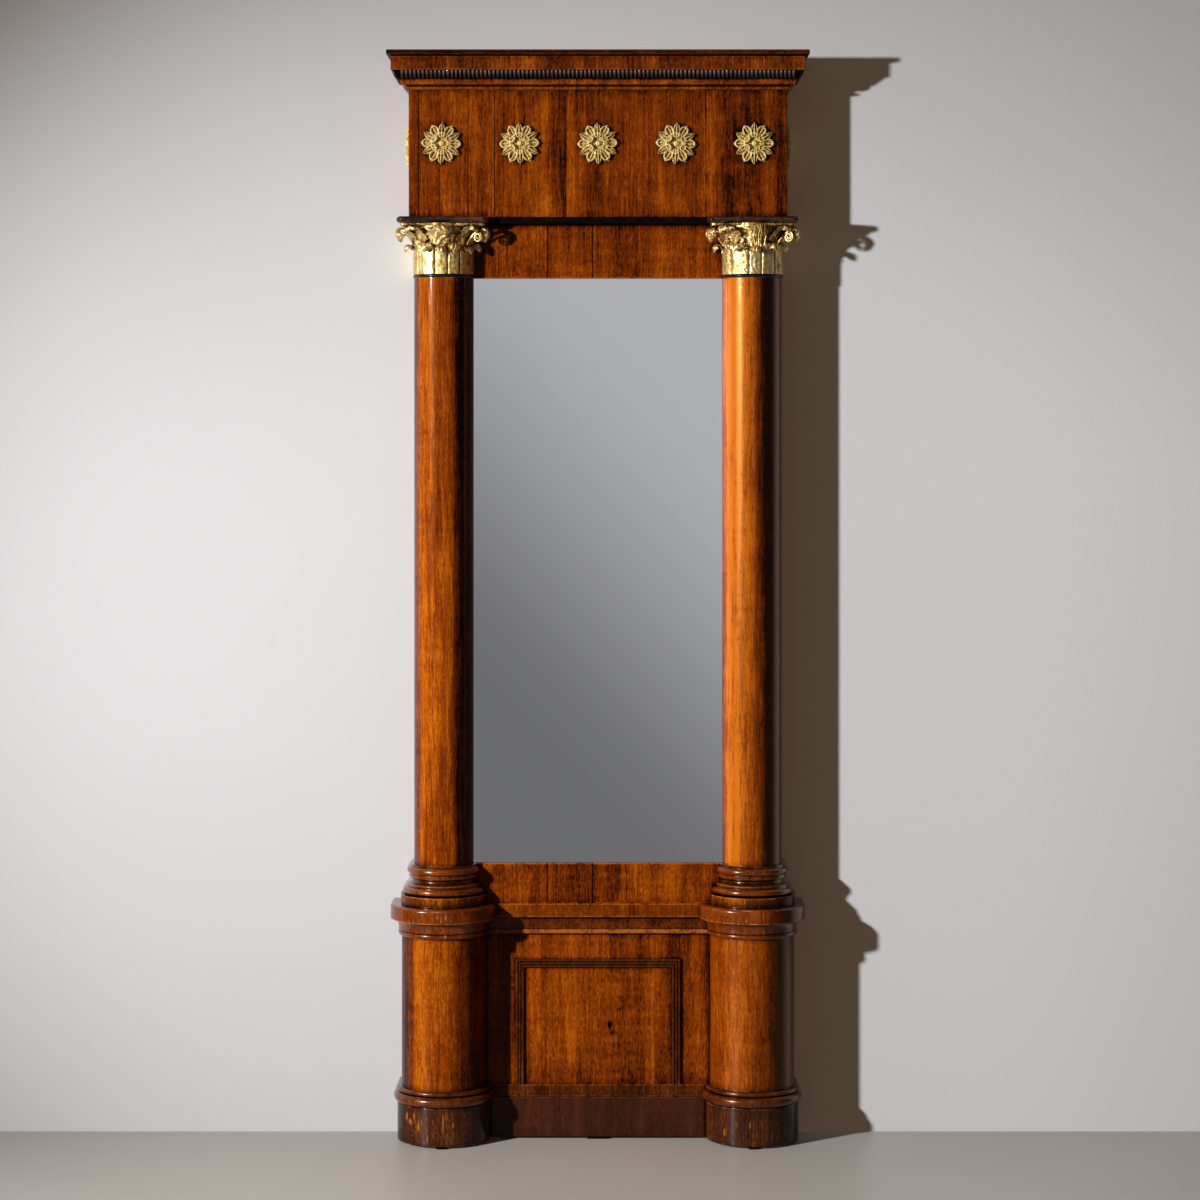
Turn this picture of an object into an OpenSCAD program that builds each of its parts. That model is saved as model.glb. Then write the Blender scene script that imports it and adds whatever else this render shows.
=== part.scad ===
// Pier mirror: a tall looking glass between two engaged half columns. It has a base of two
// half-round pedestals, and a frieze with gilt rosettes under a cornice. It stands on the floor
// with its back to the wall. X runs across it, Y from the front (-Y) to the wall (+Y), Z up.
// The origin is on the floor, in the middle of the width and the depth.
// A depth is measured forward from the wall plane, a step forward from the column axes, and an
// out value outward from the face that carries the moulding.

/* [Main sizes] */
// Height from the floor to the top of the cornice, where the column shafts take up any change
overall_height = 2500; // [2300:5:2700]
// Distance between the axes of the two columns
column_spacing = 710; // [650:2:800]
// Depth of the stiles, which puts the column axes this far in front of the wall
stile_depth = 75; // [65:1:90]

/* [Feet] */
// Thickness of the pads that the mirror stands on
pad_height = 5; // [2:0.5:12]
// Width of a pad
pad_width = 24; // [14:1:34]
// Width of the pad under the plinth board
middle_pad_width = 50; // [20:1:90]
// Height of a foot drum
drum_height = 87; // [60:1:120]
// How far a foot drum stands out from the pedestal
drum_out = 10; // [4:0.5:14]
// Wall thickness of a foot drum
drum_wall = 24; // [16:1:32]
// Height of the torus on a foot ring
foot_torus_height = 25; // [15:0.5:30]
// How far that torus stands out from the pedestal
foot_torus_out = 18; // [15:0.5:24]
// Height of the bead over the torus
foot_bead_height = 11; // [6:0.5:16]
// How far that bead stands out from the pedestal
foot_bead_out = 11; // [8:0.5:14]

/* [Pedestals] */
// Diameter of a pedestal
pedestal_diameter = 194; // [180:2:210]
// Height of a pedestal between its foot ring and its collar
pedestal_height = 346; // [250:2:450]
// Wall thickness of a pedestal
pedestal_wall = 18; // [12:1:26]
// Height of the collar bead
collar_height = 13.5; // [9:0.5:15]
// How far the collar stands out from the pedestal
collar_out = 8; // [7.5:0.5:12]
// Height of the cove under the cap slab
cap_cove_height = 24.5; // [15:0.5:35]
// How far the cove stands out at its lower edge
cap_cove_start = 7; // [2:0.5:10]
// How far the cove stands out at its upper edge
cap_cove_end = 19; // [14:0.5:22]
// Height of the cap slab
cap_slab_height = 33; // [22:1:45]
// How far the cap slab stands out from the pedestal
cap_slab_out = 26; // [23:0.5:34]
// Radius of the cap slab's upper edge
cap_edge_radius = 7; // [2:0.5:12]

/* [Base front] */
// Height of the plinth board
plinth_board_height = 92; // [60:1:120]
// Thickness of the plinth board
plinth_board_thickness = 22; // [14:1:28]
// How far the plinth board's face lies behind the column axes
plinth_setback = 1; // [0.5:0.5:4]
// Height of the ledge on the plinth board
ledge_height = 28; // [18:1:40]
// Thickness of the ledge
ledge_thickness = 25; // [20:1:32]
// How far the ledge's face lies behind the column axes
ledge_setback = 4; // [2:0.5:7]
// Thickness of the base panel
panel_thickness = 12; // [8:1:16]
// How far the panel's face lies behind the column axes
panel_setback = 9; // [8:0.5:12]
// Width over the reeded moulding on the panel
panel_frame_width = 381; // [300:1:420]
// Plain strip between that moulding and the base cap rail
panel_frame_gap = 60; // [30:1:90]
// Width of the reeded moulding
reeding_width = 20; // [12:1:30]
// Thickness of the reeded moulding
reeding_thickness = 7; // [6:0.5:9]
// Number of reeds side by side in the moulding
reed_count = 3; // [2:1:5]
// Thickness of the base cap rail, from its back to its fascia
base_rail_thickness = 44; // [38:1:50]
// Height of the fillet along the rail's lower edge
base_fillet_height = 9; // [5:0.5:14]
// How far that fillet lies in front of the column axes
base_fillet_step = 1; // [0:0.5:4]
// How far the cove's lower edge lies in front of the column axes
base_cove_step = -2; // [-4:0.5:0]
// Depth of the base rail's cove, from its lower to its upper edge
base_cove_depth = 12; // [6:0.5:14]
// Height of the base rail's fascia
base_fascia_height = 31; // [20:0.5:36]
// How far that fascia lies in front of the column axes
base_fascia_step = 17; // [13:0.5:22]
// Thickness of the board that closes the base on top
base_top_thickness = 12; // [8:1:16]
// Thickness of the base's backboard
base_back_thickness = 10; // [6:1:14]

/* [Columns] */
// Diameter of a column shaft, which is also the width of a stile with its glass rebate
column_diameter = 137; // [120:1:150]
// Height of the round plinth under a column
plinth_height = 23; // [15:0.5:32]
// How far that plinth stands out from the shaft
plinth_out = 30.5; // [28:0.5:36]
// Height of the lower torus
lower_torus_height = 18; // [12:0.5:24]
// How far the lower torus stands out from the shaft
lower_torus_out = 26; // [22:0.5:27]
// Height of the fillet over the lower torus
lower_fillet_height = 6; // [3:0.5:9]
// How far that fillet stands out from the shaft
lower_fillet_out = 16.5; // [14:0.5:20]
// Height of the scotia
scotia_height = 16; // [10:0.5:24]
// How far the scotia stands out at its deepest line
scotia_out = 5.5; // [3:0.5:9]
// Height of the fillet over the scotia
upper_fillet_height = 7; // [3:0.5:9]
// How far that fillet stands out from the shaft
upper_fillet_out = 11.5; // [10:0.5:14]
// Height of the upper torus
upper_torus_height = 17; // [10:0.5:22]
// How far the upper torus stands out from the shaft
upper_torus_out = 16.5; // [14:0.5:20]
// Height of the fillet over the upper torus
top_fillet_height = 5; // [3:0.5:9]
// How far that fillet stands out from the shaft
top_fillet_out = 7.5; // [4:0.5:12]
// Height of the astragal over the shaft
astragal_height = 8; // [5:0.5:12]
// How far the astragal stands out from the shaft
astragal_out = 3; // [2:0.5:5]

/* [Capitals] */
// Height of a capital
capital_height = 116; // [100:1:135]
// How far the bell's foot lies inside the shaft's surface
bell_inset = 1.5; // [0.5:0.5:4]
// How far the bell flares out towards its lip
bell_flare = 7; // [4:0.5:10]
// Height of the band that forms the bell's lip
lip_height = 8; // [5:0.5:10]
// How far the lip stands out from the bell's foot
lip_out = 10; // [8:0.5:12]
// Height of the lower leaves
lower_leaf_height = 58; // [46:1:64]
// How far the lower leaves curl out from the bell
lower_leaf_reach = 17; // [8:0.5:24]
// Height of the upper leaves above the capital's foot
upper_leaf_height = 96; // [88:1:98]
// How far the upper leaves curl out from the bell
upper_leaf_reach = 21; // [12:0.5:28]
// How far inside the abacus corner a corner scroll ends
scroll_inset = 14; // [8:0.5:24]
// Least thickness of the capital where it covers the stile's outer face
return_thickness = 1.5; // [0.8:0.1:3]
// Height of an abacus
abacus_height = 15; // [10:0.5:15]
// How far an abacus stands out from the shaft at the sides
abacus_side_out = 37.5; // [30:0.5:44]
// How far an abacus stands out from the shaft at the front
abacus_front_out = 12.5; // [12:0.5:20]
// Radius of an abacus corner in plan
abacus_corner_radius = 16; // [16:0.5:24]

/* [Mirror] */
// How far the rails stand in front of the stiles
rail_step = 10; // [6:0.5:14]
// Thickness of the two rails
rail_thickness = 35; // [32:1:38]
// Width of the rebate that covers the edge of the glass
rebate_width = 12; // [8:0.5:18]
// Thickness of the glass
glass_thickness = 4; // [3:0.5:6]
// Play between the glass and the rebate at the sides and the top
glass_play = 0.5; // [0.2:0.1:1.5]
// Thickness of the board behind the glass
glass_back_thickness = 8; // [6:1:10]
// Thickness of the fillets that hold the glass
glass_fillet_thickness = 9; // [6:0.5:10]
// Play between the ends of the level fillets and the upright ones
fillet_play = 0.5; // [0.2:0.1:1.5]

/* [Frieze] */
// Height of the frieze
frieze_height = 290; // [240:2:340]
// How far the frieze runs past the column axes
frieze_reach = 78.6; // [76:0.2:86]
// How far the frieze face lies in front of the column axes
frieze_step = 46; // [40:0.5:56]
// Thickness of the frieze front
frieze_front_thickness = 22; // [16:1:28]
// Thickness of the frieze ends
frieze_side_thickness = 18; // [12:1:22]
// Thickness of the frieze backboard
frieze_back_thickness = 8; // [6:0.5:12]
// Width of the square glue blocks in the corners of the frieze
corner_block_width = 25; // [16:1:32]
// How far the soffit's edge stands in front of the frieze face
soffit_nose = 3; // [1:0.5:6]
// Height of the rail inside the frieze that the mirror hangs by
hanging_rail_height = 70; // [60:1:100]
// Thickness of that rail
hanging_rail_thickness = 22; // [20:1:26]
// Distance from the top of the frieze to the middle of that rail
hanging_rail_drop = 70; // [55:1:110]

/* [Rosettes] */
// Diameter of a rosette
rosette_diameter = 96; // [70:1:110]
// Thickness of a rosette
rosette_thickness = 13; // [9:0.5:18]
// Height of the rosettes' centres above the lower edge of the frieze
rosette_height = 168; // [100:1:180]
// Distance from the frieze's end to the centre of the outer rosette
rosette_end = 75.6; // [60:0.2:100]
// Depth of the centre of a rosette on the frieze's end
side_rosette_depth = 58; // [56:1:62]

/* [Cornice] */
// Height of the small moulding on the frieze's upper edge
bed_height = 7; // [4:0.5:12]
// How far that moulding stands out at its lower edge
bed_start = 3; // [1:0.5:4]
// How far that moulding stands out at its upper edge
bed_end = 9.3; // [6:0.1:12]
// Height of the groove over it
groove_height = 4; // [2:0.5:8]
// How far the groove's ground stands out from the frieze
groove_out = 4; // [1:0.5:5]
// Height of the ovolo over the groove
ovolo_height = 13; // [8:0.5:18]
// How far the ovolo stands out at its lower edge
ovolo_start = 10.6; // [8:0.2:14]
// How far the ovolo stands out at its upper edge
ovolo_end = 20; // [16:0.5:23]
// Height of the strip that carries the beads
bead_strip_height = 19; // [14:0.5:26]
// How far that strip stands out at its lower edge, without the beads
bead_strip_start = 23; // [20.5:0.5:26]
// How far that strip stands out at its upper edge, without the beads
bead_strip_end = 35; // [30:0.5:37]
// Diameter of a bead
bead_diameter = 7; // [5:0.5:8]
// Distance from bead to bead
bead_pitch = 9.5; // [9:0.5:14]
// Thickness of the ground that the beads are worked on
bead_ground = 1; // [0.5:0.1:2]
// Height of the cornice fascia
fascia_height = 31; // [20:0.5:44]
// How far that fascia stands out from the frieze
fascia_out = 38.7; // [37.5:0.1:44]
// Height of the cornice slab
slab_height = 14; // [10:0.5:20]
// How far the slab stands out from the frieze
slab_out = 48.4; // [45:0.2:56]
// Height of the slope under the slab's edge
slab_slope_height = 4; // [2:0.5:7]
// Width of the open mitre joint between two mouldings
mitre_gap = 0.2; // [0.1:0.1:0.5]

/* [Wall fixing] */
// Distance between the two wall plates
wall_plate_spacing = 600; // [400:2:620]
// Width of a wall plate
wall_plate_width = 64; // [56:1:80]
// Height of a wall plate
wall_plate_height = 38; // [34:1:50]
// Thickness of a wall plate
wall_plate_thickness = 3; // [2.6:0.1:4]
// Diameter of the hole for the wall hook
hook_hole_diameter = 9; // [6:0.5:12]
// Diameter of the mortise behind that hole
hook_mortise_diameter = 24; // [18:1:28]
// Depth of that mortise behind the plate
hook_mortise_depth = 18; // [14:1:20]
// Distance between the two screws of a plate
plate_screw_spacing = 46; // [44:0.5:48]
// Shank diameter of a plate screw
screw_diameter = 4; // [3:0.1:4.4]
// Head diameter of a plate screw
screw_head_diameter = 8; // [7:0.1:8.6]
// Height of the countersunk head
screw_head_height = 2.2; // [1.6:0.1:2.4]
// Length of a plate screw
screw_length = 22; // [16:0.5:24]

/* [Hidden] */
$fn = 96;

LEFT = -1;
RIGHT = 1;
// How far a cutting shape runs past the face it opens
past = 1;
// Points along a quarter turn of a moulding
arc_steps = 8;
// Number of rosettes on the frieze front
rosette_count = 5;

mahogany = "sienna";
dark_mahogany = "saddlebrown";
ebonised = "#1c1412";
gilt = "goldenrod";
silvered_glass = "lightsteelblue";
pine = "burlywood";
iron = "dimgray";

// Radii and places in plan
column_x = column_spacing / 2;
column_r = column_diameter / 2;
pedestal_r = pedestal_diameter / 2;
drum_r = pedestal_r + drum_out;
cap_slab_r = pedestal_r + cap_slab_out;
back_y = (stile_depth + cap_slab_r) / 2;
axis_y = back_y - stile_depth;
sight_half = column_x - column_r;
stile_inner = sight_half + rebate_width;
panel_half = column_x - pedestal_r;
plinth_half = column_x - drum_r;

// Heights from the floor up
drum_top = pad_height + drum_height;
foot_torus_top = drum_top + foot_torus_height;
foot_top = foot_torus_top + foot_bead_height;
collar_z = foot_top + pedestal_height;
collar_top = collar_z + collar_height;
cap_cove_top = collar_top + cap_cove_height;
base_top = cap_cove_top + cap_slab_height;
plinth_top = base_top + plinth_height;
lower_torus_top = plinth_top + lower_torus_height;
lower_fillet_top = lower_torus_top + lower_fillet_height;
scotia_top = lower_fillet_top + scotia_height;
upper_fillet_top = scotia_top + upper_fillet_height;
upper_torus_top = upper_fillet_top + upper_torus_height;
sight_bottom = upper_torus_top + top_fillet_height;
plinth_board_top = pad_height + plinth_board_height;
ledge_top = plinth_board_top + ledge_height;

// Heights from the cornice down
slab_z = overall_height - slab_height;
fascia_z = slab_z - fascia_height;
bead_strip_z = fascia_z - bead_strip_height;
ovolo_z = bead_strip_z - ovolo_height;
groove_z = ovolo_z - groove_height;
frieze_top = groove_z - bed_height;
frieze_z = frieze_top - frieze_height;
abacus_z = frieze_z - abacus_height;
capital_z = abacus_z - capital_height;
sight_top = capital_z - astragal_height;

// Depths
rail_front = stile_depth + rail_step;
rail_back = rail_front - rail_thickness;
ledge_front = stile_depth - ledge_setback;
ledge_back = ledge_front - ledge_thickness;
plinth_front = stile_depth - plinth_setback;
panel_front = stile_depth - panel_setback;
base_rail_back = stile_depth + base_fascia_step - base_rail_thickness;
frieze_depth = stile_depth + frieze_step;
frieze_half = column_x + frieze_reach;
frieze_inner_half = frieze_half - frieze_side_thickness;
abacus_half = column_r + abacus_side_out;
abacus_front = column_r + abacus_front_out;

// ---- Outlines of the mouldings, each from its lower to its upper edge ----

// Concave quarter from point p to point q, upright at p and level at q
function cove(p, q) = [for (i = [0:arc_steps])
    let (t = 90 * i / arc_steps)
    [p[0] + (q[0] - p[0]) * (1 - cos(t)), p[1] + (q[1] - p[1]) * sin(t)]];

// Convex quarter from point p to point q, level at p and upright at q
function ovolo(p, q) = [for (i = [0:arc_steps])
    let (t = 90 * i / arc_steps)
    [p[0] + (q[0] - p[0]) * sin(t), p[1] + (q[1] - p[1]) * (1 - cos(t))]];

// Half-round edge that reaches out to r between two heights
function half_round(r, z0, z1) = [for (i = [-arc_steps:arc_steps])
    let (t = 90 * i / arc_steps, edge = (z1 - z0) / 2)
    [r - edge + edge * cos(t), (z0 + z1) / 2 + edge * sin(t)]];

// Hollow between point p and point q, whose deepest line reaches in to r
function scotia(p, q, r) = [for (i = [0:2 * arc_steps])
    let (s = i / (2 * arc_steps), hollow = (p[0] + q[0]) / 2 - r)
    [p[0] + (q[0] - p[0]) * s - hollow * sin(180 * s), p[1] + (q[1] - p[1]) * s]];

function band(r, z0, z1) = [[r, z0], [r, z1]];
function mirrored(edge) = [for (i = [len(edge) - 1:-1:0]) [-edge[i][0], edge[i][1]]];
function last(list) = list[len(list) - 1];

// ---- Shared solids ----

// A board between two values across, in depth and in height
module board(across, depth, height) {
    translate([across[0], back_y - depth[1], height[0]])
        cube([across[1] - across[0], depth[1] - depth[0], height[1] - height[0]]);
}

module sideways(side) {
    if (side == RIGHT) children();
    else mirror([1, 0, 0]) children();
}

// Moves a shape made round the origin to a column's axis
module on_column(side) {
    sideways(side) translate([column_x, axis_y, 0]) children();
}

// Half a turning, with its flat back on the column axis
module half_turned(edge) {
    rotate([0, 0, 180])
        rotate_extrude(angle = 180)
            polygon(concat([[0, edge[0][1]]], edge, [[0, last(edge)[1]]]));
}

// An outline in X and Z, run straight back from the column axis
module run_back(outline, length = stile_depth) {
    translate([0, length, 0])
        rotate([90, 0, 0])
            linear_extrude(length)
                polygon(outline);
}

// A half turning that runs straight back to the wall on both sides
module bay(edge) {
    half_turned(edge);
    run_back(concat(edge, mirrored(edge)));
}

// The part of a moulding's outline that lies outside r, closed along r
function outside(edge, r) = concat([[r, edge[0][1]]], [for (p = edge) if (p[0] > r) p], [[r, last(edge)[1]]]);

// A half turning round a core of radius r, returned to the wall along its outer side
module engaged(edge, r = column_r) {
    half_turned(edge);
    run_back(outside(edge, r));
}

// The hollow of a bay with the radius r, open at the back and at both ends
module bay_hollow(r, z0, z1) {
    half_turned(band(r, z0 - past, z1 + past));
    run_back([[-r, z0 - past], [r, z0 - past], [r, z1 + past], [-r, z1 + past]], stile_depth + past);
}

// An outline in depth and Z, run along X
module run_across(outline, half_length) {
    translate([-half_length, back_y, 0])
        rotate([90, 0, 90])
            linear_extrude(2 * half_length)
                polygon([for (p = outline) [-p[0], p[1]]]);
}

// ---- Base ----

module floor_pads() {
    front = stile_depth + drum_r;
    color(dark_mahogany) {
        board([-middle_pad_width / 2, middle_pad_width / 2],
            [plinth_front - plinth_board_thickness, plinth_front], [0, pad_height]);
        for (side = [LEFT, RIGHT]) {
            sideways(side)
                board([column_x - pad_width / 2, column_x + pad_width / 2],
                    [front - drum_wall, front - past], [0, pad_height]);
            for (edge = [-drum_r, drum_r - drum_wall])
                sideways(side)
                    board([column_x + edge, column_x + edge + drum_wall], [0, pad_width], [0, pad_height]);
        }
    }
}

module foot_drum(side) {
    color(dark_mahogany)
        on_column(side)
            difference() {
                bay(band(drum_r, pad_height, drum_top));
                bay_hollow(drum_r - drum_wall, pad_height, drum_top);
            }
}

module foot_ring(side) {
    torus = half_round(pedestal_r + foot_torus_out, drum_top, foot_torus_top);
    bead = half_round(pedestal_r + foot_bead_out, foot_torus_top, foot_top);
    color(dark_mahogany)
        difference() {
            on_column(side) bay(concat(torus, bead));
            base_flats();
        }
}

module pedestal(side) {
    color(mahogany)
        on_column(side)
            difference() {
                bay(band(pedestal_r, foot_top, collar_top));
                bay_hollow(pedestal_r - pedestal_wall, foot_top, collar_top);
            }
}

// The collar's inner end dies into the base cap rail
module pedestal_collar(side) {
    edge = half_round(pedestal_r + collar_out, collar_z, collar_top);
    color(mahogany)
        difference() {
            on_column(side)
                difference() {
                    union() {
                        engaged(edge, pedestal_r);
                        mirror([1, 0, 0])
                            run_back(outside(edge, pedestal_r), (stile_depth - base_rail_back) / 2);
                    }
                    bay_hollow(pedestal_r, collar_z, collar_top);
                }
            base_flats();
        }
}

module pedestal_cap(side) {
    hollow = cove([pedestal_r + cap_cove_start, collar_top], [pedestal_r + cap_cove_end, cap_cove_top]);
    slab_edge = ovolo_edge(cap_slab_r, base_top, cap_edge_radius);
    color(mahogany)
        difference() {
            on_column(side) bay(concat(hollow, [[cap_slab_r, cap_cove_top]], slab_edge));
            base_flats();
        }
}

// Rounded upper edge of a slab that reaches out to r
function ovolo_edge(r, top, radius) = [for (i = [0:arc_steps])
    let (t = 90 * i / arc_steps)
    [r - radius + radius * cos(t), top - radius + radius * sin(t)]];

module plinth_board() {
    color(dark_mahogany)
        board([-plinth_half, plinth_half],
            [plinth_front - plinth_board_thickness, plinth_front], [pad_height, plinth_board_top]);
}

module plinth_ledge() {
    color(mahogany)
        board([-plinth_half, plinth_half], [ledge_back, ledge_front], [plinth_board_top, ledge_top]);
}

module base_panel() {
    color(mahogany)
        board([-panel_half, panel_half], [panel_front - panel_thickness, panel_front], [ledge_top, collar_z]);
}

// Plan of a moulding with reeds side by side on a flat ground
function reeding() =
    let (reed_r = reeding_width / (2 * reed_count), ground = reeding_thickness - reed_r)
    concat([[0, 0], [0, ground]],
        [for (reed = [0:reed_count - 1], i = [1:2 * arc_steps])
            let (t = 180 - 90 * i / arc_steps)
            [reed_r * (2 * reed + 1 + cos(t)), ground + reed_r * sin(t)]],
        [[reeding_width, 0]]);

module panel_moulding() {
    half = panel_frame_width / 2;
    top = collar_z - panel_frame_gap;
    profile = reeding();
    color(dark_mahogany) {
        for (side = [LEFT, RIGHT])
            sideways(side)
                intersection() {
                    translate([half, back_y - panel_front, ledge_top])
                        rotate([0, 0, 180])
                            linear_extrude(top - ledge_top)
                                polygon(profile);
                    run_front([[half + past, ledge_top - past], [half + past, top + past - mitre_gap],
                        [half - reeding_width - past, top - reeding_width - past - mitre_gap],
                        [half - reeding_width - past, ledge_top - past]]);
                }
        intersection() {
            run_across([for (p = profile) [panel_front + p[1], top - p[0]]], half);
            run_front([[-half - past, top + past], [half + past, top + past],
                [half - reeding_width - past, top - reeding_width - past],
                [reeding_width + past - half, top - reeding_width - past]]);
        }
    }
}

// An outline in X and Z, run through the reeded moulding from the front
module run_front(outline) {
    translate([0, back_y - panel_front + past, 0])
        rotate([90, 0, 0])
            linear_extrude(reeding_thickness + 2 * past)
                polygon(outline);
}

module base_cap_rail() {
    fillet_front = stile_depth + base_fillet_step;
    fascia_front = stile_depth + base_fascia_step;
    fillet_top = collar_z + base_fillet_height;
    fascia_z0 = base_top - base_fascia_height;
    cove_foot = stile_depth + base_cove_step;
    outline = concat([[base_rail_back, collar_z], [fillet_front, collar_z], [fillet_front, fillet_top]],
        cove([cove_foot, fillet_top], [cove_foot + base_cove_depth, fascia_z0]),
        [[fascia_front, fascia_z0], [fascia_front, base_top], [base_rail_back, base_top]]);
    color(mahogany) run_across(outline, panel_half);
}

// The flat members of the base, to which the pedestals' mouldings are fitted
module base_flats() {
    plinth_board();
    plinth_ledge();
    base_panel();
    base_cap_rail();
}

module base_top_board() {
    half = column_x - cap_slab_r;
    color(pine)
        board([-half, half], [0, base_rail_back], [base_top - base_top_thickness, base_top]);
}

module base_backboard() {
    half = column_x - cap_slab_r;
    color(pine)
        board([-half, half], [0, base_back_thickness], [pad_height, base_top - base_top_thickness]);
}

// ---- Columns and mirror frame ----

module column_plinth(side) {
    color(dark_mahogany)
        difference() {
            on_column(side) engaged(band(column_r + plinth_out, base_top, plinth_top));
            lower_rail();
        }
}

module column_base(side) {
    lower_torus = half_round(column_r + lower_torus_out, plinth_top, lower_torus_top);
    lower_fillet = band(column_r + lower_fillet_out, lower_torus_top, lower_fillet_top);
    upper_fillet = band(column_r + upper_fillet_out, scotia_top, upper_fillet_top);
    hollow = scotia(lower_fillet[1], upper_fillet[0], column_r + scotia_out);
    upper_torus = half_round(column_r + upper_torus_out, upper_fillet_top, upper_torus_top);
    top_fillet = band(column_r + top_fillet_out, upper_torus_top, sight_bottom);
    inner_hollow = [for (i = [1:len(hollow) - 2]) hollow[i]];
    color(mahogany)
        difference() {
            on_column(side)
                engaged(concat(lower_torus, lower_fillet, inner_hollow, upper_fillet, upper_torus, top_fillet));
            lower_rail();
        }
}

module column(side) {
    color(mahogany) on_column(side) half_turned(band(column_r, sight_bottom, sight_top));
}

module astragal(side) {
    color(ebonised)
        difference() {
            on_column(side) engaged(half_round(column_r + astragal_out, sight_top, capital_z));
            upper_rail();
        }
}

module stile(side) {
    color(mahogany)
        sideways(side) board([stile_inner, column_x + column_r], [0, stile_depth], [base_top, abacus_z]);
}

module lower_rail() {
    lip_back = stile_depth;
    outline = [[rail_back, base_top], [rail_front, base_top], [rail_front, sight_bottom],
        [lip_back, sight_bottom], [lip_back, sight_bottom - rebate_width],
        [rail_back, sight_bottom - rebate_width]];
    color(mahogany) run_across(outline, stile_inner);
}

module upper_rail() {
    lip_back = stile_depth;
    outline = [[rail_back, sight_top + rebate_width], [lip_back, sight_top + rebate_width],
        [lip_back, sight_top], [rail_front, sight_top], [rail_front, abacus_z], [rail_back, abacus_z]];
    color(mahogany) run_across(outline, stile_inner);
}

module mirror_glass() {
    half = stile_inner - glass_play;
    color(silvered_glass)
        board([-half, half], [stile_depth - glass_thickness, stile_depth],
            [sight_bottom - rebate_width, sight_top + rebate_width - glass_play]);
}

module glass_backboard() {
    front = stile_depth - glass_thickness;
    color(pine)
        board([-stile_inner, stile_inner], [front - glass_back_thickness, front],
            [sight_bottom - rebate_width, sight_top + rebate_width]);
}

// Four separate strips in the rebate: two upright ones, and two between them
module glass_fillets() {
    front = stile_depth - glass_thickness - glass_back_thickness;
    depth = [front - glass_fillet_thickness, front];
    bottom = sight_bottom - rebate_width;
    top = sight_top + rebate_width;
    color(pine) {
        for (side = [LEFT, RIGHT])
            sideways(side) board([sight_half, stile_inner], depth, [bottom, top]);
        for (z = [bottom, top - rebate_width])
            board([fillet_play - sight_half, sight_half - fillet_play], depth, [z, z + rebate_width]);
    }
}

// ---- Capitals ----

// A leaf in section, from its root up to the fold behind its curled tip,
// as shares of the leaf's reach and of the height of its tier
leaf_section = [[0.14, 0.10], [0.17, 0.34], [0.22, 0.62], [0.50, 0.84], [0.78, 0.77],
    [1.00, 0.84], [0.93, 0.97], [0.52, 1.03], [0.10, 0.97]];
// A corner scroll in section, which droops further than a leaf
scroll_section = [[0.04, 0.15], [0.14, 0.50], [0.36, 0.78], [0.58, 0.62], [0.68, 0.34],
    [0.88, 0.30], [1.00, 0.62], [0.80, 0.96], [0.10, 1.00]];
// Number of rows that belong to the blade, below the curl
blade_rows = 3;
// How sharply a leaf narrows from its midrib, on its blade and on its curl
blade_taper = 0.45;
curl_taper = 1.2;
// The same for a scroll, which keeps its width almost to its edges
scroll_taper = 0.3;
// Veins on each side of a midrib, and their share of the relief
vein_count = 2;
vein_share = 0.12;
// Step between two upright lines of the carved surface, and its first line, in degrees
carving_step = 2.4;
carving_start = -78;
// Angles of the leaves' midribs from the front, and half their spread, in degrees
lower_leaf_angles = [-61, -20.5, 20.5, 61];
lower_leaf_spread = 19.5;
upper_leaf_angles = [-26, 0, 26, 77];
upper_leaf_spread = 12.5;
scroll_spread = 7.5;

bell_r = column_r - bell_inset;
scroll_angle = atan2(abacus_half, abacus_front);
scroll_reach = norm([abacus_half, abacus_front]) - bell_r - scroll_inset;

// Share of full relief at an angle d from the midrib of a [midrib, spread, reach, section]
function relief(leaf, d, row) = let (s = d / leaf[1])
    abs(s) >= 1 ? 0
    : leaf[3] == scroll_section ? pow(cos(90 * s), scroll_taper)
    : pow(cos(90 * s), row < blade_rows ? blade_taper : curl_taper)
        * (1 - vein_share + vein_share * cos(360 * vein_count * s));

// How far the bare bell stands out at the height z
function bell_out(z) = bell_flare * pow(z / capital_height, 4);

// One tier's rows of points [out, z] at the angle a
function tier_rows(a, leaves, z0, z1) = [for (row = [0:len(leaf_section) - 1])
    let (bare_z = z0 + (z1 - z0) * (row + 1) / (len(leaf_section) + 1), bare = [bell_out(bare_z), bare_z])
    let (pulls = [for (leaf = leaves)
        let (share = leaf[3][row], tip = [bell_out(bare_z) + leaf[2] * share[0], z0 + (z1 - z0) * share[1]])
        relief(leaf, a - leaf[0], row) * (tip - bare)])
    bare + total(pulls)];
function total(list, i = 0) = i < len(list) ? list[i] + total(list, i + 1) : [0, 0];

function lower_leaves() = [for (a = lower_leaf_angles) [a, lower_leaf_spread, lower_leaf_reach, leaf_section]];
function upper_leaves() = concat(
    [for (a = upper_leaf_angles) [a, upper_leaf_spread, upper_leaf_reach, leaf_section]],
    [for (a = [-scroll_angle, scroll_angle]) [a, scroll_spread, scroll_reach, scroll_section]]);

// All rows of the carved surface at the angle a, from the capital's foot to its lip
function carved_rows(a) = concat([[0, 0]],
    tier_rows(a, lower_leaves(), 0, lower_leaf_height),
    tier_rows(a, upper_leaves(), lower_leaf_height, upper_leaf_height),
    [[lip_out, capital_height - lip_height], [lip_out, capital_height]]);

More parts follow.
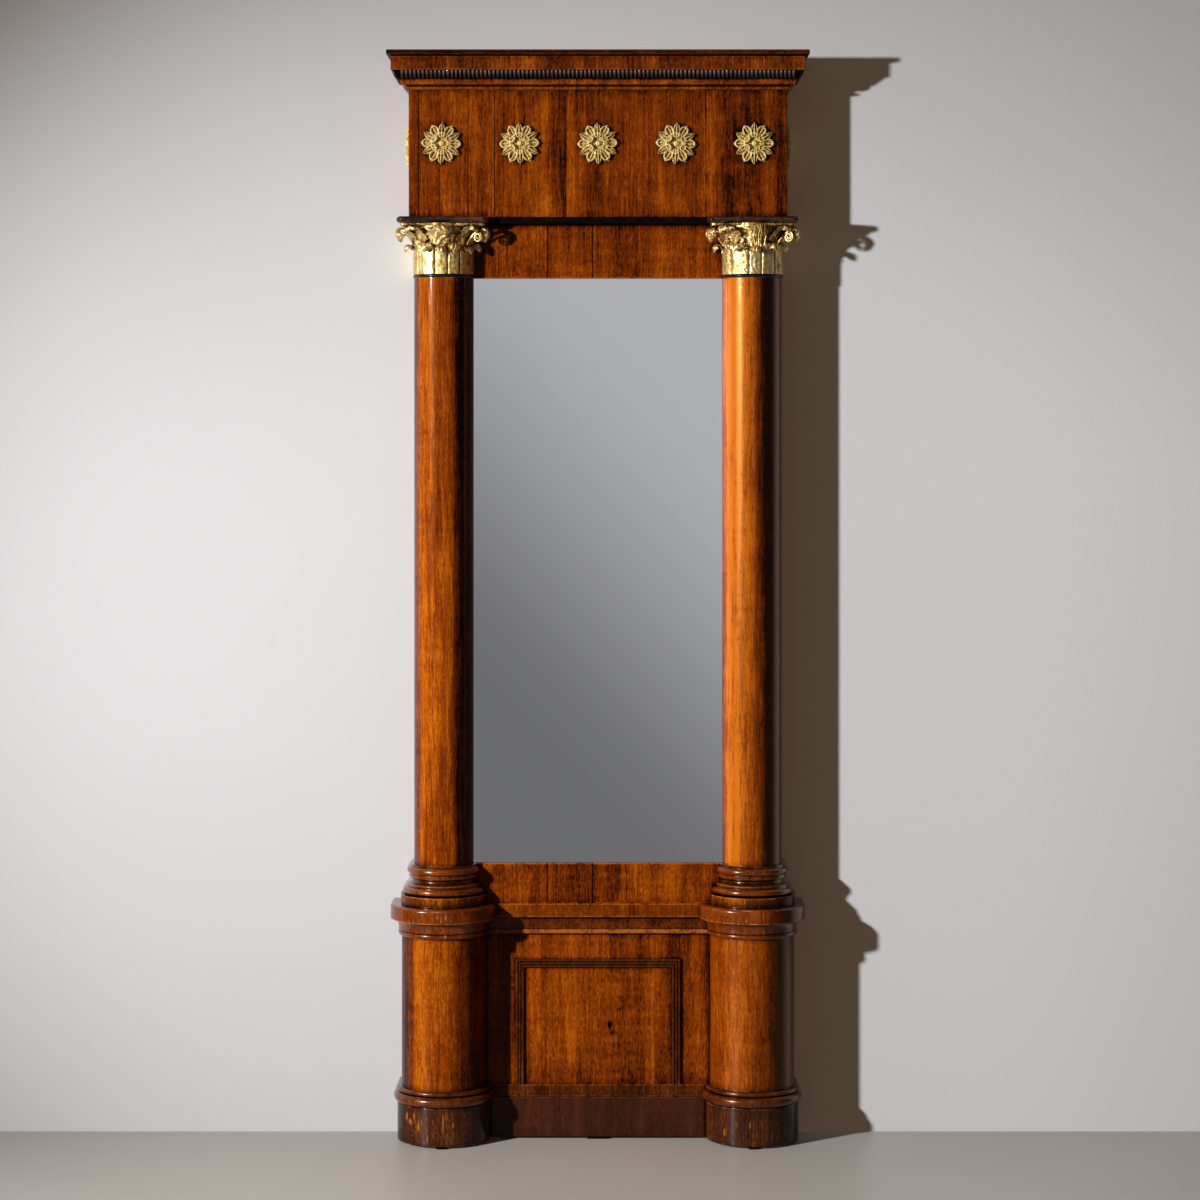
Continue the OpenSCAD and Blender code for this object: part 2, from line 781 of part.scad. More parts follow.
// Upright lines of the capital: where it meets the rail, the carved front, then the wall end
function capital_lines() =
    let (seam = carved_rows(-90), wall_end = [for (p = seam)
        [max(bell_r + p[0], column_r + return_thickness), p[1]]])
    concat([[for (p = seam) [-sqrt(pow(bell_r + p[0], 2) - pow(rail_step, 2)), -rail_step, p[1]]]],
        [for (a = [carving_start:carving_step:90 - carving_step / 2]) [for (p = carved_rows(a))
            [(bell_r + p[0]) * sin(a), -(bell_r + p[0]) * cos(a), p[1]]]],
        [for (y = [0, stile_depth]) [for (p = wall_end) [p[0], y, p[1]]]],
        [for (corner = [[column_r, stile_depth], [column_r, 0],
                [rebate_width - column_r, 0], [rebate_width - column_r, -rail_step]])
            [for (row = [0:len(seam) - 1])
                [corner[0], corner[1], capital_height * row / (len(seam) - 1)]]]);

// The carved capital as one closed solid, with straight triangles between its upright lines
module capital(side) {
    lines = capital_lines();
    rows = len(lines[0]);
    count = len(lines);
    points = [for (line = lines) each line];
    front_end = count - 6;
    walls = [for (i = [0:count - 1], row = [0:rows - 2])
        let (j = (i + 1) % count, a = i * rows + row, b = j * rows + row)
        each [[a, a + 1, b + 1], [a, b + 1, b]]];
    foot_front = [for (i = [-1:front_end]) (i < 0 ? count - 1 : i) * rows];
    foot_inner = [count - 3, count - 2];
    foot = [concat(foot_front, [for (i = foot_inner) i * rows]),
        [for (i = [front_end, count - 5, count - 4, count - 3]) i * rows]];
    head = [for (face = foot) [for (i = [0:len(face) - 1]) face[(len(face) - i) % len(face)] + rows - 1]];
    color(gilt)
        on_column(side)
            translate([0, 0, capital_z])
                polyhedron(points, concat(walls, foot, head), convexity = 8);
}

// ---- Abaci and frieze ----

// A slab round the column axis with a half-round edge at the front and both sides
module abacus(side) {
    core_half = abacus_half - abacus_corner_radius;
    core_front = abacus_front - abacus_corner_radius;
    edge = half_round(abacus_corner_radius, abacus_z, frieze_z);
    closed_edge = concat([[0, abacus_z]], edge, [[0, frieze_z]]);
    color(ebonised)
        on_column(side) {
            translate([-core_half, -core_front, abacus_z])
                cube([2 * core_half, core_front + stile_depth, abacus_height]);
            translate([-core_half, -core_front, 0])
                rotate([90, 0, 90])
                    linear_extrude(2 * core_half)
                        polygon([for (p = closed_edge) [-p[0], p[1]]]);
            for (hand = [LEFT, RIGHT])
                sideways(hand) {
                    translate([core_half, stile_depth, 0])
                        rotate([90, 0, 0])
                            linear_extrude(core_front + stile_depth)
                                polygon(closed_edge);
                    translate([core_half, -core_front, 0])
                        rotate([0, 0, -90])
                            rotate_extrude(angle = 90)
                                polygon(closed_edge);
                }
        }
}

module frieze_soffit() {
    half = column_x - abacus_half + abacus_corner_radius;
    color(ebonised)
        difference() {
            board([-half, half], [0, frieze_depth + soffit_nose], [abacus_z, frieze_z]);
            abacus(LEFT);
            abacus(RIGHT);
        }
}

module frieze_front() {
    color(mahogany)
        board([-frieze_half, frieze_half], [frieze_depth - frieze_front_thickness, frieze_depth],
            [frieze_z, frieze_top]);
}

module frieze_side(side) {
    color(mahogany)
        sideways(side)
            board([frieze_inner_half, frieze_half], [0, frieze_depth - frieze_front_thickness],
                [frieze_z, frieze_top]);
}

module frieze_corner_blocks() {
    inside = frieze_depth - frieze_front_thickness;
    color(pine)
        for (side = [LEFT, RIGHT], back = [frieze_back_thickness, inside - corner_block_width])
            sideways(side)
                board([frieze_inner_half - corner_block_width, frieze_inner_half],
                    [back, back + corner_block_width], [frieze_z, frieze_top]);
}

module frieze_backboard() {
    color(pine)
        difference() {
            board([-frieze_inner_half, frieze_inner_half], [0, frieze_back_thickness], [frieze_z, slab_z]);
            on_wall_plates() wall_plate_blank();
            on_wall_plates() hook_mortise();
            on_wall_plates() on_plate_screws() screw();
        }
}

module hanging_rail() {
    half = frieze_inner_half - corner_block_width;
    middle = frieze_top - hanging_rail_drop;
    color(pine)
        difference() {
            board([-half, half], [frieze_back_thickness, frieze_back_thickness + hanging_rail_thickness],
                [middle - hanging_rail_height / 2, middle + hanging_rail_height / 2]);
            on_wall_plates() hook_mortise();
            on_wall_plates() on_plate_screws() screw();
        }
}

// ---- Wall fixing ----

// Moves a shape that lies in the XZ plane, with its depth towards -Y, to both wall plates
module on_wall_plates() {
    for (side = [LEFT, RIGHT])
        translate([side * wall_plate_spacing / 2, back_y, frieze_top - hanging_rail_drop]) children();
}

module on_plate_screws() {
    for (side = [LEFT, RIGHT])
        translate([side * plate_screw_spacing / 2, 0, 0]) children();
}

module wall_plate_blank() {
    translate([-wall_plate_width / 2, -wall_plate_thickness, -wall_plate_height / 2])
        cube([wall_plate_width, wall_plate_thickness, wall_plate_height]);
}

// A drilling from the wall plane towards the front
module drilling(radius, depth) {
    rotate([90, 0, 0]) cylinder(r = radius, h = depth);
}

module hook_mortise() {
    drilling(hook_mortise_diameter / 2, wall_plate_thickness + hook_mortise_depth);
}

// A countersunk screw with its head flush with the wall plane
module screw() {
    rotate([90, 0, 0]) {
        cylinder(r1 = screw_head_diameter / 2, r2 = screw_diameter / 2, h = screw_head_height);
        translate([0, 0, screw_head_height])
            cylinder(r = screw_diameter / 2, h = screw_length - screw_head_height);
    }
}

module wall_plates() {
    color(iron)
        difference() {
            on_wall_plates() wall_plate_blank();
            on_wall_plates() translate([0, past, 0])
                drilling(hook_hole_diameter / 2, wall_plate_thickness + 2 * past);
            on_wall_plates() on_plate_screws() screw();
        }
}

module wall_plate_screws() {
    color(iron) on_wall_plates() on_plate_screws() screw();
}

// ---- Rosettes ----

// Rows of a rosette from its edge to its boss, as shares of its radius and of its thickness
rosette_rows = [[1.00, 0.22], [0.88, 0.50], [0.70, 0.78], [0.55, 1.00], [0.40, 0.86], [0.29, 0.42],
    [0.14, 0.62]];
// Boss height, depth of the hollow behind the rosette and its width, as shares of the same
rosette_boss = 0.90;
rosette_hollow = 0.26;
rosette_hollow_width = 0.70;
// Petals round a rosette, by turns round and pointed, and points along each
petal_pairs = 6;
petal_points = 5;
// Width of a round petal as a share of a pair, and the outline's reach between two petals
round_share = 0.6;
notch_reach = 0.80;
round_reach = 0.95;
// How far the ground between two petals sinks
petal_relief = 0.35;

// Angle from the middle of the nearest round petal, as a share of half a pair
function petal_phase(a) =
    let (pair = 360 / petal_pairs, turn = a / pair)
    abs(turn - round(turn)) * 2;

// Bulge of the petal at this phase, from 0 at a notch to 1 at a petal's midrib
function petal_bulge(phase) = phase < round_share
    ? sqrt(1 - pow(phase / round_share, 2))
    : (phase - round_share) / (1 - round_share);

function petal_reach(phase) =
    notch_reach + ((phase < round_share ? round_reach : 1) - notch_reach) * petal_bulge(phase);

module rosette() {
    radius = rosette_diameter / 2;
    count = 2 * petal_pairs * petal_points;
    rows = len(rosette_rows);
    phases = [for (i = [0:count - 1]) petal_phase(360 * i / count)];
    // Outward rows keep the petals' outline, and inward rows turn into circles
    rings = concat(
        [[for (i = [0:count - 1]) [rosette_hollow_width * petal_reach(phases[i]), 0]]],
        [[for (i = [0:count - 1]) [petal_reach(phases[i]), 0]]],
        [for (row = rosette_rows) [for (i = [0:count - 1])
            let (outline = 1 - row[0] * (1 - petal_reach(phases[i])))
            [row[0] * outline, row[1] * (1 - petal_relief * row[0] * (1 - petal_bulge(phases[i])))]]]);
    points = concat(
        [for (ring = rings, i = [0:count - 1])
            let (p = ring[i], a = 90 - 360 * (i + petal_points) / count)
            [radius * p[0] * cos(a), radius * p[0] * sin(a), rosette_thickness * p[1]]],
        [[0, 0, rosette_thickness * rosette_hollow], [0, 0, rosette_thickness * rosette_boss]]);
    back_centre = len(points) - 2;
    boss = len(points) - 1;
    sides = [for (ring = [0:rows], i = [0:count - 1])
        let (j = (i + 1) % count, a = ring * count, b = a + count)
        each [[a + i, b + i, b + j], [a + i, b + j, a + j]]];
    top_ring = (rows + 1) * count;
    caps = [for (i = [0:count - 1])
        let (j = (i + 1) % count)
        each [[back_centre, i, j], [boss, top_ring + j, top_ring + i]]];
    color(gilt) polyhedron(points, concat(sides, caps), convexity = 8);
}

module rosette_front(number) {
    spacing = 2 * (frieze_half - rosette_end) / (rosette_count - 1);
    translate([(number - (rosette_count + 1) / 2) * spacing, back_y - frieze_depth, frieze_z + rosette_height])
        rotate([90, 0, 0])
            rosette();
}

module rosette_side(side) {
    sideways(side)
        translate([frieze_half, back_y - side_rosette_depth, frieze_z + rosette_height])
            rotate([90, 0, 90])
                rosette();
}

// ---- Cornice ----

// A moulding on the frieze's front and ends, seated as deep as the frieze ends are thick.
// Its outline is [out, z], and its three lengths meet in open mitre joints.
module cornice_layer(outline) {
    seat = frieze_side_thickness;
    reach = slab_out + past;
    inner_x = frieze_half - seat;
    outer_x = frieze_half + reach;
    inner_y = back_y - frieze_depth + seat;
    outer_y = back_y - frieze_depth - reach;
    intersection() {
        run_across([for (p = outline) [frieze_depth + p[0], p[1]]], outer_x);
        linear_extrude(overall_height)
            polygon([[-inner_x, inner_y], [inner_x, inner_y], [outer_x, outer_y], [-outer_x, outer_y]]);
    }
    for (side = [LEFT, RIGHT])
        sideways(side)
            intersection() {
                translate([0, back_y, 0])
                    rotate([90, 0, 0])
                        linear_extrude(frieze_depth + reach)
                            polygon([for (p = outline) [frieze_half + p[0], p[1]]]);
                linear_extrude(overall_height)
                    polygon([[inner_x, inner_y + mitre_gap], [outer_x, outer_y + mitre_gap],
                        [outer_x, back_y + past], [inner_x, back_y + past]]);
            }
}

function seated(edge) =
    concat([[-frieze_side_thickness, edge[0][1]]], edge, [[-frieze_side_thickness, last(edge)[1]]]);

module cornice_bed_moulding() {
    small = ovolo([bed_start, frieze_top], [bed_end, groove_z]);
    groove = band(groove_out, groove_z, ovolo_z);
    large = ovolo([ovolo_start, ovolo_z], [ovolo_end, bead_strip_z]);
    color(mahogany) cornice_layer(seated(concat(small, groove, large)));
}

module cornice_bead_strip() {
    color(ebonised)
        cornice_layer(seated([[bead_strip_start, bead_strip_z], [bead_strip_end, fascia_z]]));
}

// Section of a strip of upright beads on a thin ground, from its foot outwards
function bead_row(count) =
    let (bead_r = bead_diameter / 2, steps = 6)
    concat([[0, 0], [0, bead_ground]],
        [for (i = [0:count - 1], k = [0:steps])
            let (t = 180 - 180 * k / steps)
            [bead_pitch * (i + 0.5) + bead_r * cos(t), bead_ground + bead_r * sin(t)]],
        [[bead_pitch * count, bead_ground], [bead_pitch * count, 0]]);

// Three lengths of beads planted on the sloping faces of their strip, clear of its corners
module cornice_beads() {
    slope = atan2(bead_strip_end - bead_strip_start, bead_strip_height);
    length = bead_strip_height / cos(slope);
    front_count = 2 * floor((frieze_half + bead_strip_start) / bead_pitch - 0.5) + 1;
    side_count = floor((frieze_depth + bead_strip_start) / bead_pitch);
    color(ebonised) {
        translate([-front_count * bead_pitch / 2, back_y - frieze_depth - bead_strip_start, bead_strip_z])
            rotate([slope, 0, 0])
                linear_extrude(length)
                    polygon([for (p = bead_row(front_count)) [p[0], -p[1]]]);
        for (side = [LEFT, RIGHT])
            sideways(side)
                translate([frieze_half + bead_strip_start, back_y, bead_strip_z])
                    rotate([0, slope, 0])
                        linear_extrude(length)
                            polygon([for (p = bead_row(side_count)) [p[1], -p[0]]]);
    }
}

module cornice_fascia() {
    color(mahogany) cornice_layer(seated(band(fascia_out, fascia_z, slab_z)));
}

// The top board, whose edge slopes in underneath to meet the fascia
module cornice_slab() {
    slope_z = slab_z + slab_slope_height;
    front_out = frieze_depth + slab_out;
    front_in = frieze_depth + fascia_out;
    side_out = frieze_half + slab_out;
    side_in = frieze_half + fascia_out;
    color(dark_mahogany)
        intersection() {
            run_across([[0, slab_z], [front_in, slab_z], [front_out, slope_z], [front_out, overall_height],
                [0, overall_height]], side_out);
            translate([0, back_y, 0])
                rotate([90, 0, 0])
                    linear_extrude(front_out)
                        polygon([[-side_in, slab_z], [side_in, slab_z], [side_out, slope_z],
                            [side_out, overall_height], [-side_out, overall_height], [-side_out, slope_z]]);
        }
}

floor_pads();
foot_drum(LEFT);  // foot_drum_left
foot_drum(RIGHT);  // foot_drum_right
foot_ring(LEFT);  // foot_ring_left
foot_ring(RIGHT);  // foot_ring_right
pedestal(LEFT);  // pedestal_left
pedestal(RIGHT);  // pedestal_right
pedestal_collar(LEFT);  // pedestal_collar_left
pedestal_collar(RIGHT);  // pedestal_collar_right
pedestal_cap(LEFT);  // pedestal_cap_left
pedestal_cap(RIGHT);  // pedestal_cap_right
plinth_board();
plinth_ledge();
base_panel();
panel_moulding();
base_cap_rail();
base_top_board();
base_backboard();
column_plinth(LEFT);  // column_plinth_left
column_plinth(RIGHT);  // column_plinth_right
column_base(LEFT);  // column_base_left
column_base(RIGHT);  // column_base_right
column(LEFT);  // column_left
column(RIGHT);  // column_right
astragal(LEFT);  // astragal_left
astragal(RIGHT);  // astragal_right
capital(LEFT);  // capital_left
capital(RIGHT);  // capital_right
abacus(LEFT);  // abacus_left
abacus(RIGHT);  // abacus_right
stile(LEFT);  // stile_left
stile(RIGHT);  // stile_right
lower_rail();
upper_rail();
mirror_glass();
glass_backboard();
glass_fillets();
frieze_soffit();
frieze_front();
frieze_side(LEFT);  // frieze_side_left
frieze_side(RIGHT);  // frieze_side_right
frieze_backboard();
frieze_corner_blocks();
hanging_rail();
rosette_front(1);  // rosette_1
rosette_front(2);  // rosette_2
rosette_front(3);  // rosette_3
rosette_front(4);  // rosette_4
rosette_front(5);  // rosette_5
rosette_side(LEFT);  // rosette_side_left
rosette_side(RIGHT);  // rosette_side_right
cornice_bed_moulding();
cornice_bead_strip();
cornice_beads();
cornice_fascia();
cornice_slab();
wall_plates();
wall_plate_screws();
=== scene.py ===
"""Dresses the pier mirror: polished mahogany veneer, ebonised and gilt carving, silvered glass."""
import math

import bmesh
import bpy
import numpy as np
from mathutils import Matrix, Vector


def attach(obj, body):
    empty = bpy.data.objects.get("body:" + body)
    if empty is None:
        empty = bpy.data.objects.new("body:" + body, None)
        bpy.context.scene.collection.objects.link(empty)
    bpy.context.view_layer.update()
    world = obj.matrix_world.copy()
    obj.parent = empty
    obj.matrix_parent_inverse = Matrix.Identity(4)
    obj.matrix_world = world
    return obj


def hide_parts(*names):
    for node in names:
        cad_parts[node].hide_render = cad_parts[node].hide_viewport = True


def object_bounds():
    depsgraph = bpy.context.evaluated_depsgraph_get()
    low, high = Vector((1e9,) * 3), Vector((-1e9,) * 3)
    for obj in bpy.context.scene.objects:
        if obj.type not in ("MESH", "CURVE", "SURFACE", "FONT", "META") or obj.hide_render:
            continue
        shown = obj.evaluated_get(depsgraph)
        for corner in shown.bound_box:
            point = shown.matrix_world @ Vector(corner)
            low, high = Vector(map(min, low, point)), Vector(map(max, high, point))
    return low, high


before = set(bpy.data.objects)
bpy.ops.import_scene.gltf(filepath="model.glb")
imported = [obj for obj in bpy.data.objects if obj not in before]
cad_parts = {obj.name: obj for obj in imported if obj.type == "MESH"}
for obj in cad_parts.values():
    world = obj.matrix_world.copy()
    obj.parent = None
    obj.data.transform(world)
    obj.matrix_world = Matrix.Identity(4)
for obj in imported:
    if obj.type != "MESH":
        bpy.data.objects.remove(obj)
cad_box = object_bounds()

# ---- The studio: a pale painted wall, a grey-beige floor, one hard lamp and the camera ----
# The wall is seen from its front side only. It takes shadows but gives none, so the mirror's
# back and sides keep the soft light of the room in views from behind.
MM = 0.001
WALL_PLANE = cad_box[1].y
WALL_GAP = 0.0015


class Finish:
    """A material, or the light of the room, in the making. Each method adds one shader node and
    gives back its output, from numbers, colours or the outputs of other nodes."""

    def __init__(self, owner):
        owner.use_nodes = True
        self.owner, self.tree = owner, owner.node_tree
        self.tree.nodes.clear()
        self.where = self.put("TexCoord").outputs

    def put(self, kind, sockets=None, **settings):
        """The node itself, with its settings, and its sockets set or joined."""
        made = self.tree.nodes.new("ShaderNode" + kind)
        for key, value in settings.items():
            setattr(made, key, value)
        for key, value in (sockets or {}).items():
            if isinstance(value, bpy.types.NodeSocket):
                self.tree.links.new(value, made.inputs[key])
            else:
                made.inputs[key].default_value = value
        return made

    def sums(self, operation, *values):
        return self.put("Math", dict(enumerate(values)), operation=operation).outputs[0]

    def plus(self, first, second):
        return self.sums("ADD", first, second)

    def less(self, first, second):
        return self.sums("SUBTRACT", first, second)

    def times(self, first, second):
        return self.sums("MULTIPLY", first, second)

    def most(self, first, second):
        return self.sums("MAXIMUM", first, second)

    def apart(self, first, second):
        """How far two values are from each other."""
        return self.sums("ABSOLUTE", self.less(first, second))

    def scaled(self, value, gain, base):
        return self.sums("MULTIPLY_ADD", value, gain, base)

    def swung(self, noise, gain, base):
        """A noise's swing about its middle, added to a base."""
        return self.scaled(self.less(noise, 0.5), gain, base)

    def slope(self, value, start, end, low=0.0, high=1.0, soft=False):
        """Goes from low to high while the value goes from start to end, and stays level outside."""
        return self.put("MapRange", {0: value, 1: start, 2: end, 3: low, 4: high},
                        interpolation_type="SMOOTHSTEP" if soft else "LINEAR").outputs[0]

    def mixed(self, share, first, second):
        return self.put("Mix", {"Factor": share, "A": first, "B": second}, data_type="RGBA").outputs["Result"]

    def ramp(self, value, stops):
        """A colour ramp through (place, colour) stops."""
        made = self.put("ValToRGB", {"Fac": value})
        while len(made.color_ramp.elements) < len(stops):
            made.color_ramp.elements.new(0.5)
        for element, (place, colour) in zip(made.color_ramp.elements, stops):
            element.position, element.color = place, (*colour, 1)
        return made.outputs[0]

    def noise(self, place, stretch, detail=3.0, roughness=0.5, distortion=0.0):
        """Noise whose pattern repeats about stretch times a metre, along all axes or each."""
        laid = self.put("Mapping", {"Vector": place, "Scale": np.broadcast_to(stretch, 3).tolist()})
        return self.put("TexNoise", {"Vector": laid.outputs[0], "Scale": 1.0, "Detail": detail,
                                     "Roughness": roughness, "Distortion": distortion}).outputs["Fac"]

    def bump(self, height, strength, distance):
        return self.put("Bump", {"Height": height, "Strength": strength, "Distance": distance}).outputs[0]

    def done(self, sockets):
        """The finished material, from the sockets of its main shader."""
        self.put("OutputMaterial", {"Surface": self.put("BsdfPrincipled", sockets).outputs[0]})
        return self.owner


def material(name):
    return Finish(bpy.data.materials.new(name))


def in_scene(name, data):
    made = bpy.data.objects.new(name, data)
    bpy.context.scene.collection.objects.link(made)
    return made


def flat_sheet(name, corners, paint):
    """One stage sheet through four corners."""
    mesh = bpy.data.meshes.new(name)
    mesh.from_pydata(corners, [], [(0, 1, 2, 3)])
    mesh.materials.append(paint)
    sheet = in_scene(name, mesh)


def painted(name, light, dark, roughness, glow=None):
    """Flat paint with a faint roller texture and slow changes of tone. It takes shadows, but gives
    none and throws no light back. A wall has painted light in its colour, which makes it paler at
    the lower right, and its glow stands for the light that it would get from the room."""
    paint = material(name)
    home = paint.where["Object"]
    colour = paint.ramp(paint.noise(home, 1.3, 4.0), [(0.3, dark), (0.7, light)])
    # Painted light: the wall's colour turns paler towards the lower right, a painted pool of light
    if glow:
        parts = paint.put("SeparateXYZ", {0: home}).outputs
        painted_light_lower_right = paint.times(paint.slope(parts[0], 0.4, 1.1, soft=True),
                                  paint.slope(parts[2], 2.4, 1.5, soft=True))
        colour = paint.mixed(painted_light_lower_right, colour, (0.94, 0.945, 0.95, 1))
    surface = paint.put("BsdfPrincipled", {
        "Base Color": colour, "Roughness": roughness, "Specular IOR Level": 0.3,
        "Normal": paint.bump(paint.noise(home, 90), 0.12, 0.002),
        "Emission Color": (*(glow or (0, 0, 0)), 1), "Emission Strength": 1.0 if glow else 0.0})
    path = paint.put("LightPath").outputs
    hidden = paint.most(paint.put("NewGeometry").outputs["Backfacing"],
                        paint.most(path["Is Shadow Ray"], path["Is Diffuse Ray"]))
    shown = paint.put("MixShader", {0: hidden, 1: surface.outputs[0], 2: paint.put("BsdfTransparent").outputs[0]})
    paint.put("OutputMaterial", {"Surface": shown.outputs[0]})
    return paint.owner


wall_y = WALL_PLANE + WALL_GAP
flat_sheet("studio_wall", [(-7, wall_y, 0), (7, wall_y, 0), (7, wall_y, 5), (-7, wall_y, 5)],
           painted("wall_paint", (0.825, 0.832, 0.845), (0.795, 0.802, 0.815), 0.8, (0.040, 0.0205, 0.0125)))
flat_sheet("studio_floor", [(-7, -4.2, 0), (7, -4.2, 0), (7, 7, 0), (-7, 7, 0)],
           painted("floor_paint", (0.745, 0.70, 0.64), (0.69, 0.645, 0.585), 0.42))


def hard_lamp(name, place, turn):
    lamp = bpy.data.lights.new(name, "SPOT")
    lamp.energy = 1830
    lamp.color = (0.985, 0.99, 1.0)
    lamp.shadow_soft_size = 0.11
    lamp.spot_size = math.radians(50)
    lamp.spot_blend = 1.0
    made = in_scene(name, lamp)
    made.location, made.rotation_euler = place, turn
    return made


# The lamp stands to the left and in front, a little under the cornice's height
lamp_place = np.array([-4.7, -4.05, 2.45])
aim = np.array([1.0, 0.1, 0.7]) - lamp_place
lamp_turn = (math.atan2(math.hypot(aim[0], aim[1]), -aim[2]), 0, math.atan2(aim[1], aim[0]) - math.pi / 2)
hard_lamp("key_lamp", lamp_place, lamp_turn)

# The room round it: dim and warm in front, lighter behind the wall, grey where the glass looks
room = Finish(bpy.data.worlds.new("room"))
bpy.context.scene.world = room.owner
toward = room.put("SeparateXYZ", {0: room.where["Generated"]}).outputs
front = room.most(room.times(toward[1], -1.0), 0.05)
across = room.sums("DIVIDE", toward[0], front)
slant = room.plus(room.sums("DIVIDE", toward[2], front), across)
veil = room.slope(slant, -0.125, 0.045, 0.15, 0.43, soft=True)
aside = room.slope(room.sums("ABSOLUTE", across), 0.07, 0.22, 1.0, 0.0, soft=True)
ahead = room.slope(toward[1], -0.2, 0.3, 1.0, 0.0)
grey = room.plus(room.times(room.times(veil, aside), ahead), room.times(room.less(1.0, aside), 0.045))
gloss = room.put("CombineColor", {0: grey, 1: grey, 2: room.times(grey, 1.05)}).outputs[0]
fill = room.mixed(room.slope(toward[1], 0.6, 0.95), (0.045, 0.040, 0.026, 1), (0.55, 0.54, 0.51, 1))
path = room.put("LightPath").outputs
lit = room.mixed(room.most(path["Is Glossy Ray"], path["Is Transmission Ray"]), fill, gloss)
backdrop = room.mixed(path["Is Camera Ray"], lit, (0.74, 0.735, 0.725, 1))
room.put("OutputWorld", {"Surface": room.put("Background", {"Color": backdrop, "Strength": 1.0}).outputs[0]})

# The camera stands 7.1 m away at eye height and looks level, so upright lines stay upright
lens = bpy.data.cameras.new("camera")
lens.lens = 93.0
lens.sensor_width = 36.0
lens.shift_y = -170 / 1200
camera = in_scene("camera", lens)
camera.location = (0.0046, 0.024 - 7.1455, 1.634)
camera.rotation_euler = (math.pi / 2, 0, 0)
bpy.context.scene.camera = camera
bpy.context.scene.view_settings.view_transform = "Standard"

# ---- Foot drums: low half-round drums under the pedestals ----
# Built up of softwood and veneered in dark mahogany with the grain upright. They carry the
# whole piece, so their polish is scratched through to the orange wood, most of all at the left.
SIDES = (-1, "left"), (1, "right")
COLUMN_X, AXIS = 355.0, 75.0
FLOOR_PAD, DRUM_TOP = 5.0, 92.0


def eased(outline, radius, fade=2.5, closed=True, mild=20.0):
    """Corners sharper than mild degrees become arcs of about this radius: each one is a quadratic
    curve between two cuts on its edges. A point given twice counts once. Returns the points and a
    wear-and-light value for each, from -1 in an inner corner, where the finish lays dirt and painted
    shade, to 1 on an outer one, where it lays wear, and 0 past fade on either side."""
    most_of_edge, most_of_room, sharpest, fully_worn = 0.48, 0.7, 130, 70
    points = np.array(outline, float)
    points = points[np.linalg.norm(np.roll(points, -1, 0) - points, axis=1) > 1e-6]
    before, after = np.roll(points, 1, 0) - points, np.roll(points, -1, 0) - points
    len_before, len_after = np.linalg.norm(before, axis=1), np.linalg.norm(after, axis=1)
    before, after = before / len_before[:, None], after / len_after[:, None]
    cross = before[:, 0] * after[:, 1] - before[:, 1] * after[:, 0]
    turn = np.degrees(np.arccos(np.clip(-(before * after).sum(1), -1, 1)))
    area = (points[:, 0] * np.roll(points[:, 1], -1) - np.roll(points[:, 0], -1) * points[:, 1]).sum()
    outer = -np.sign(cross) * np.sign(area)
    spots, wear_and_light = [], []
    for i, point in enumerate(points):
        if turn[i] < mild or (not closed and i in (0, len(points) - 1)):
            spots.append(point[None])
            wear_and_light.append([0])
            continue
        room_left = most_of_edge * min(len_before[i], len_after[i])
        cut = min(radius * math.tan(math.radians(min(turn[i], sharpest) / 2)), room_left * most_of_room)
        s = np.linspace(0, 1, 4)[:, None]
        arc_points = (1 - s) ** 2 * (point + before[i] * cut) + 2 * s * (1 - s) * point + s ** 2 * (
            point + after[i] * cut)
        edge = min(cut + fade, room_left)
        spots += [point[None] + before[i] * edge, arc_points, point[None] + after[i] * edge]
        wear_and_light += [[0], np.full(4, outer[i] * min(turn[i] / fully_worn, 1)), [0]]
    return np.concatenate(spots), np.concatenate(wear_and_light)


def quads(rows, columns, wrap=False):
    """Corner numbers of the four-sided faces of a grid, whose rows may each close on themselves."""
    i, j = np.meshgrid(np.arange(rows - 1), np.arange(columns if wrap else columns - 1), indexing="ij")
    j2 = (j + 1) % columns
    return np.stack([i * columns + j, (i + 1) * columns + j, (i + 1) * columns + j2, i * columns + j2],
                    -1).reshape(-1, 4)


def shell(place, loops=True):
    """Points and faces of a closed skin over a grid of points. Where each row is a loop, the first
    and last row are its ends. Else the first points, the last points, and both end rows close it."""
    grid = np.arange(place[..., 0].size).reshape(place.shape[:2])
    ends = [grid[0], grid[-1]] if loops else [grid[:, 0], grid[:, -1], np.append(grid[0], grid[-1][::-1])]
    return place.reshape(-1, 3), quads(*grid.shape, loops).tolist() + [end.tolist() for end in ends]


def solid(name, points, faces, wear_and_light=None, sharp=38.0):
    """One closed piece from points [across, forward from the wall, up] in mm, and faces. Its
    wear-and-light attribute tells the finish where edges show wear, where the beads' tops and the
    cap rail's fillet carry a painted highlight, and where corners take dirt and painted shade."""
    mesh = bpy.data.meshes.new(name)
    place = np.asarray(points, float) * [MM, -MM, MM] + [0, WALL_PLANE, 0]
    mesh.from_pydata(place.tolist(), [], [list(map(int, face)) for face in faces])
    if wear_and_light is not None:
        mesh.attributes.new("wear_and_light", "FLOAT", "POINT").data.foreach_set("value", np.asarray(wear_and_light, np.float32))
    body = bmesh.new()
    body.from_mesh(mesh)
    bmesh.ops.remove_doubles(body, verts=body.verts, dist=1e-6)
    bmesh.ops.recalc_face_normals(body, faces=body.faces)
    body.to_mesh(mesh)
    body.free()
    mesh.shade_smooth()
    mesh.set_sharp_from_angle(angle=math.radians(sharp))
    return in_scene(name, mesh)


def carried(name, section, stations, loops=True, rise=(0, 0, 1)):
    """A section, an outline with the wear-and-light value of each point, carried along stations.
    Each station is a place and the direction in which the outline's first number is measured. Its
    second one is measured along the rise."""
    outline, wear_and_light = section
    stations = np.asarray(stations, float)[:, None]
    place = stations[..., :3] + stations[..., 3:] * outline[:, :1] + np.array(rise) * outline[:, 1:]
    return solid(name, *shell(place, loops), np.tile(wear_and_light, len(stations)))


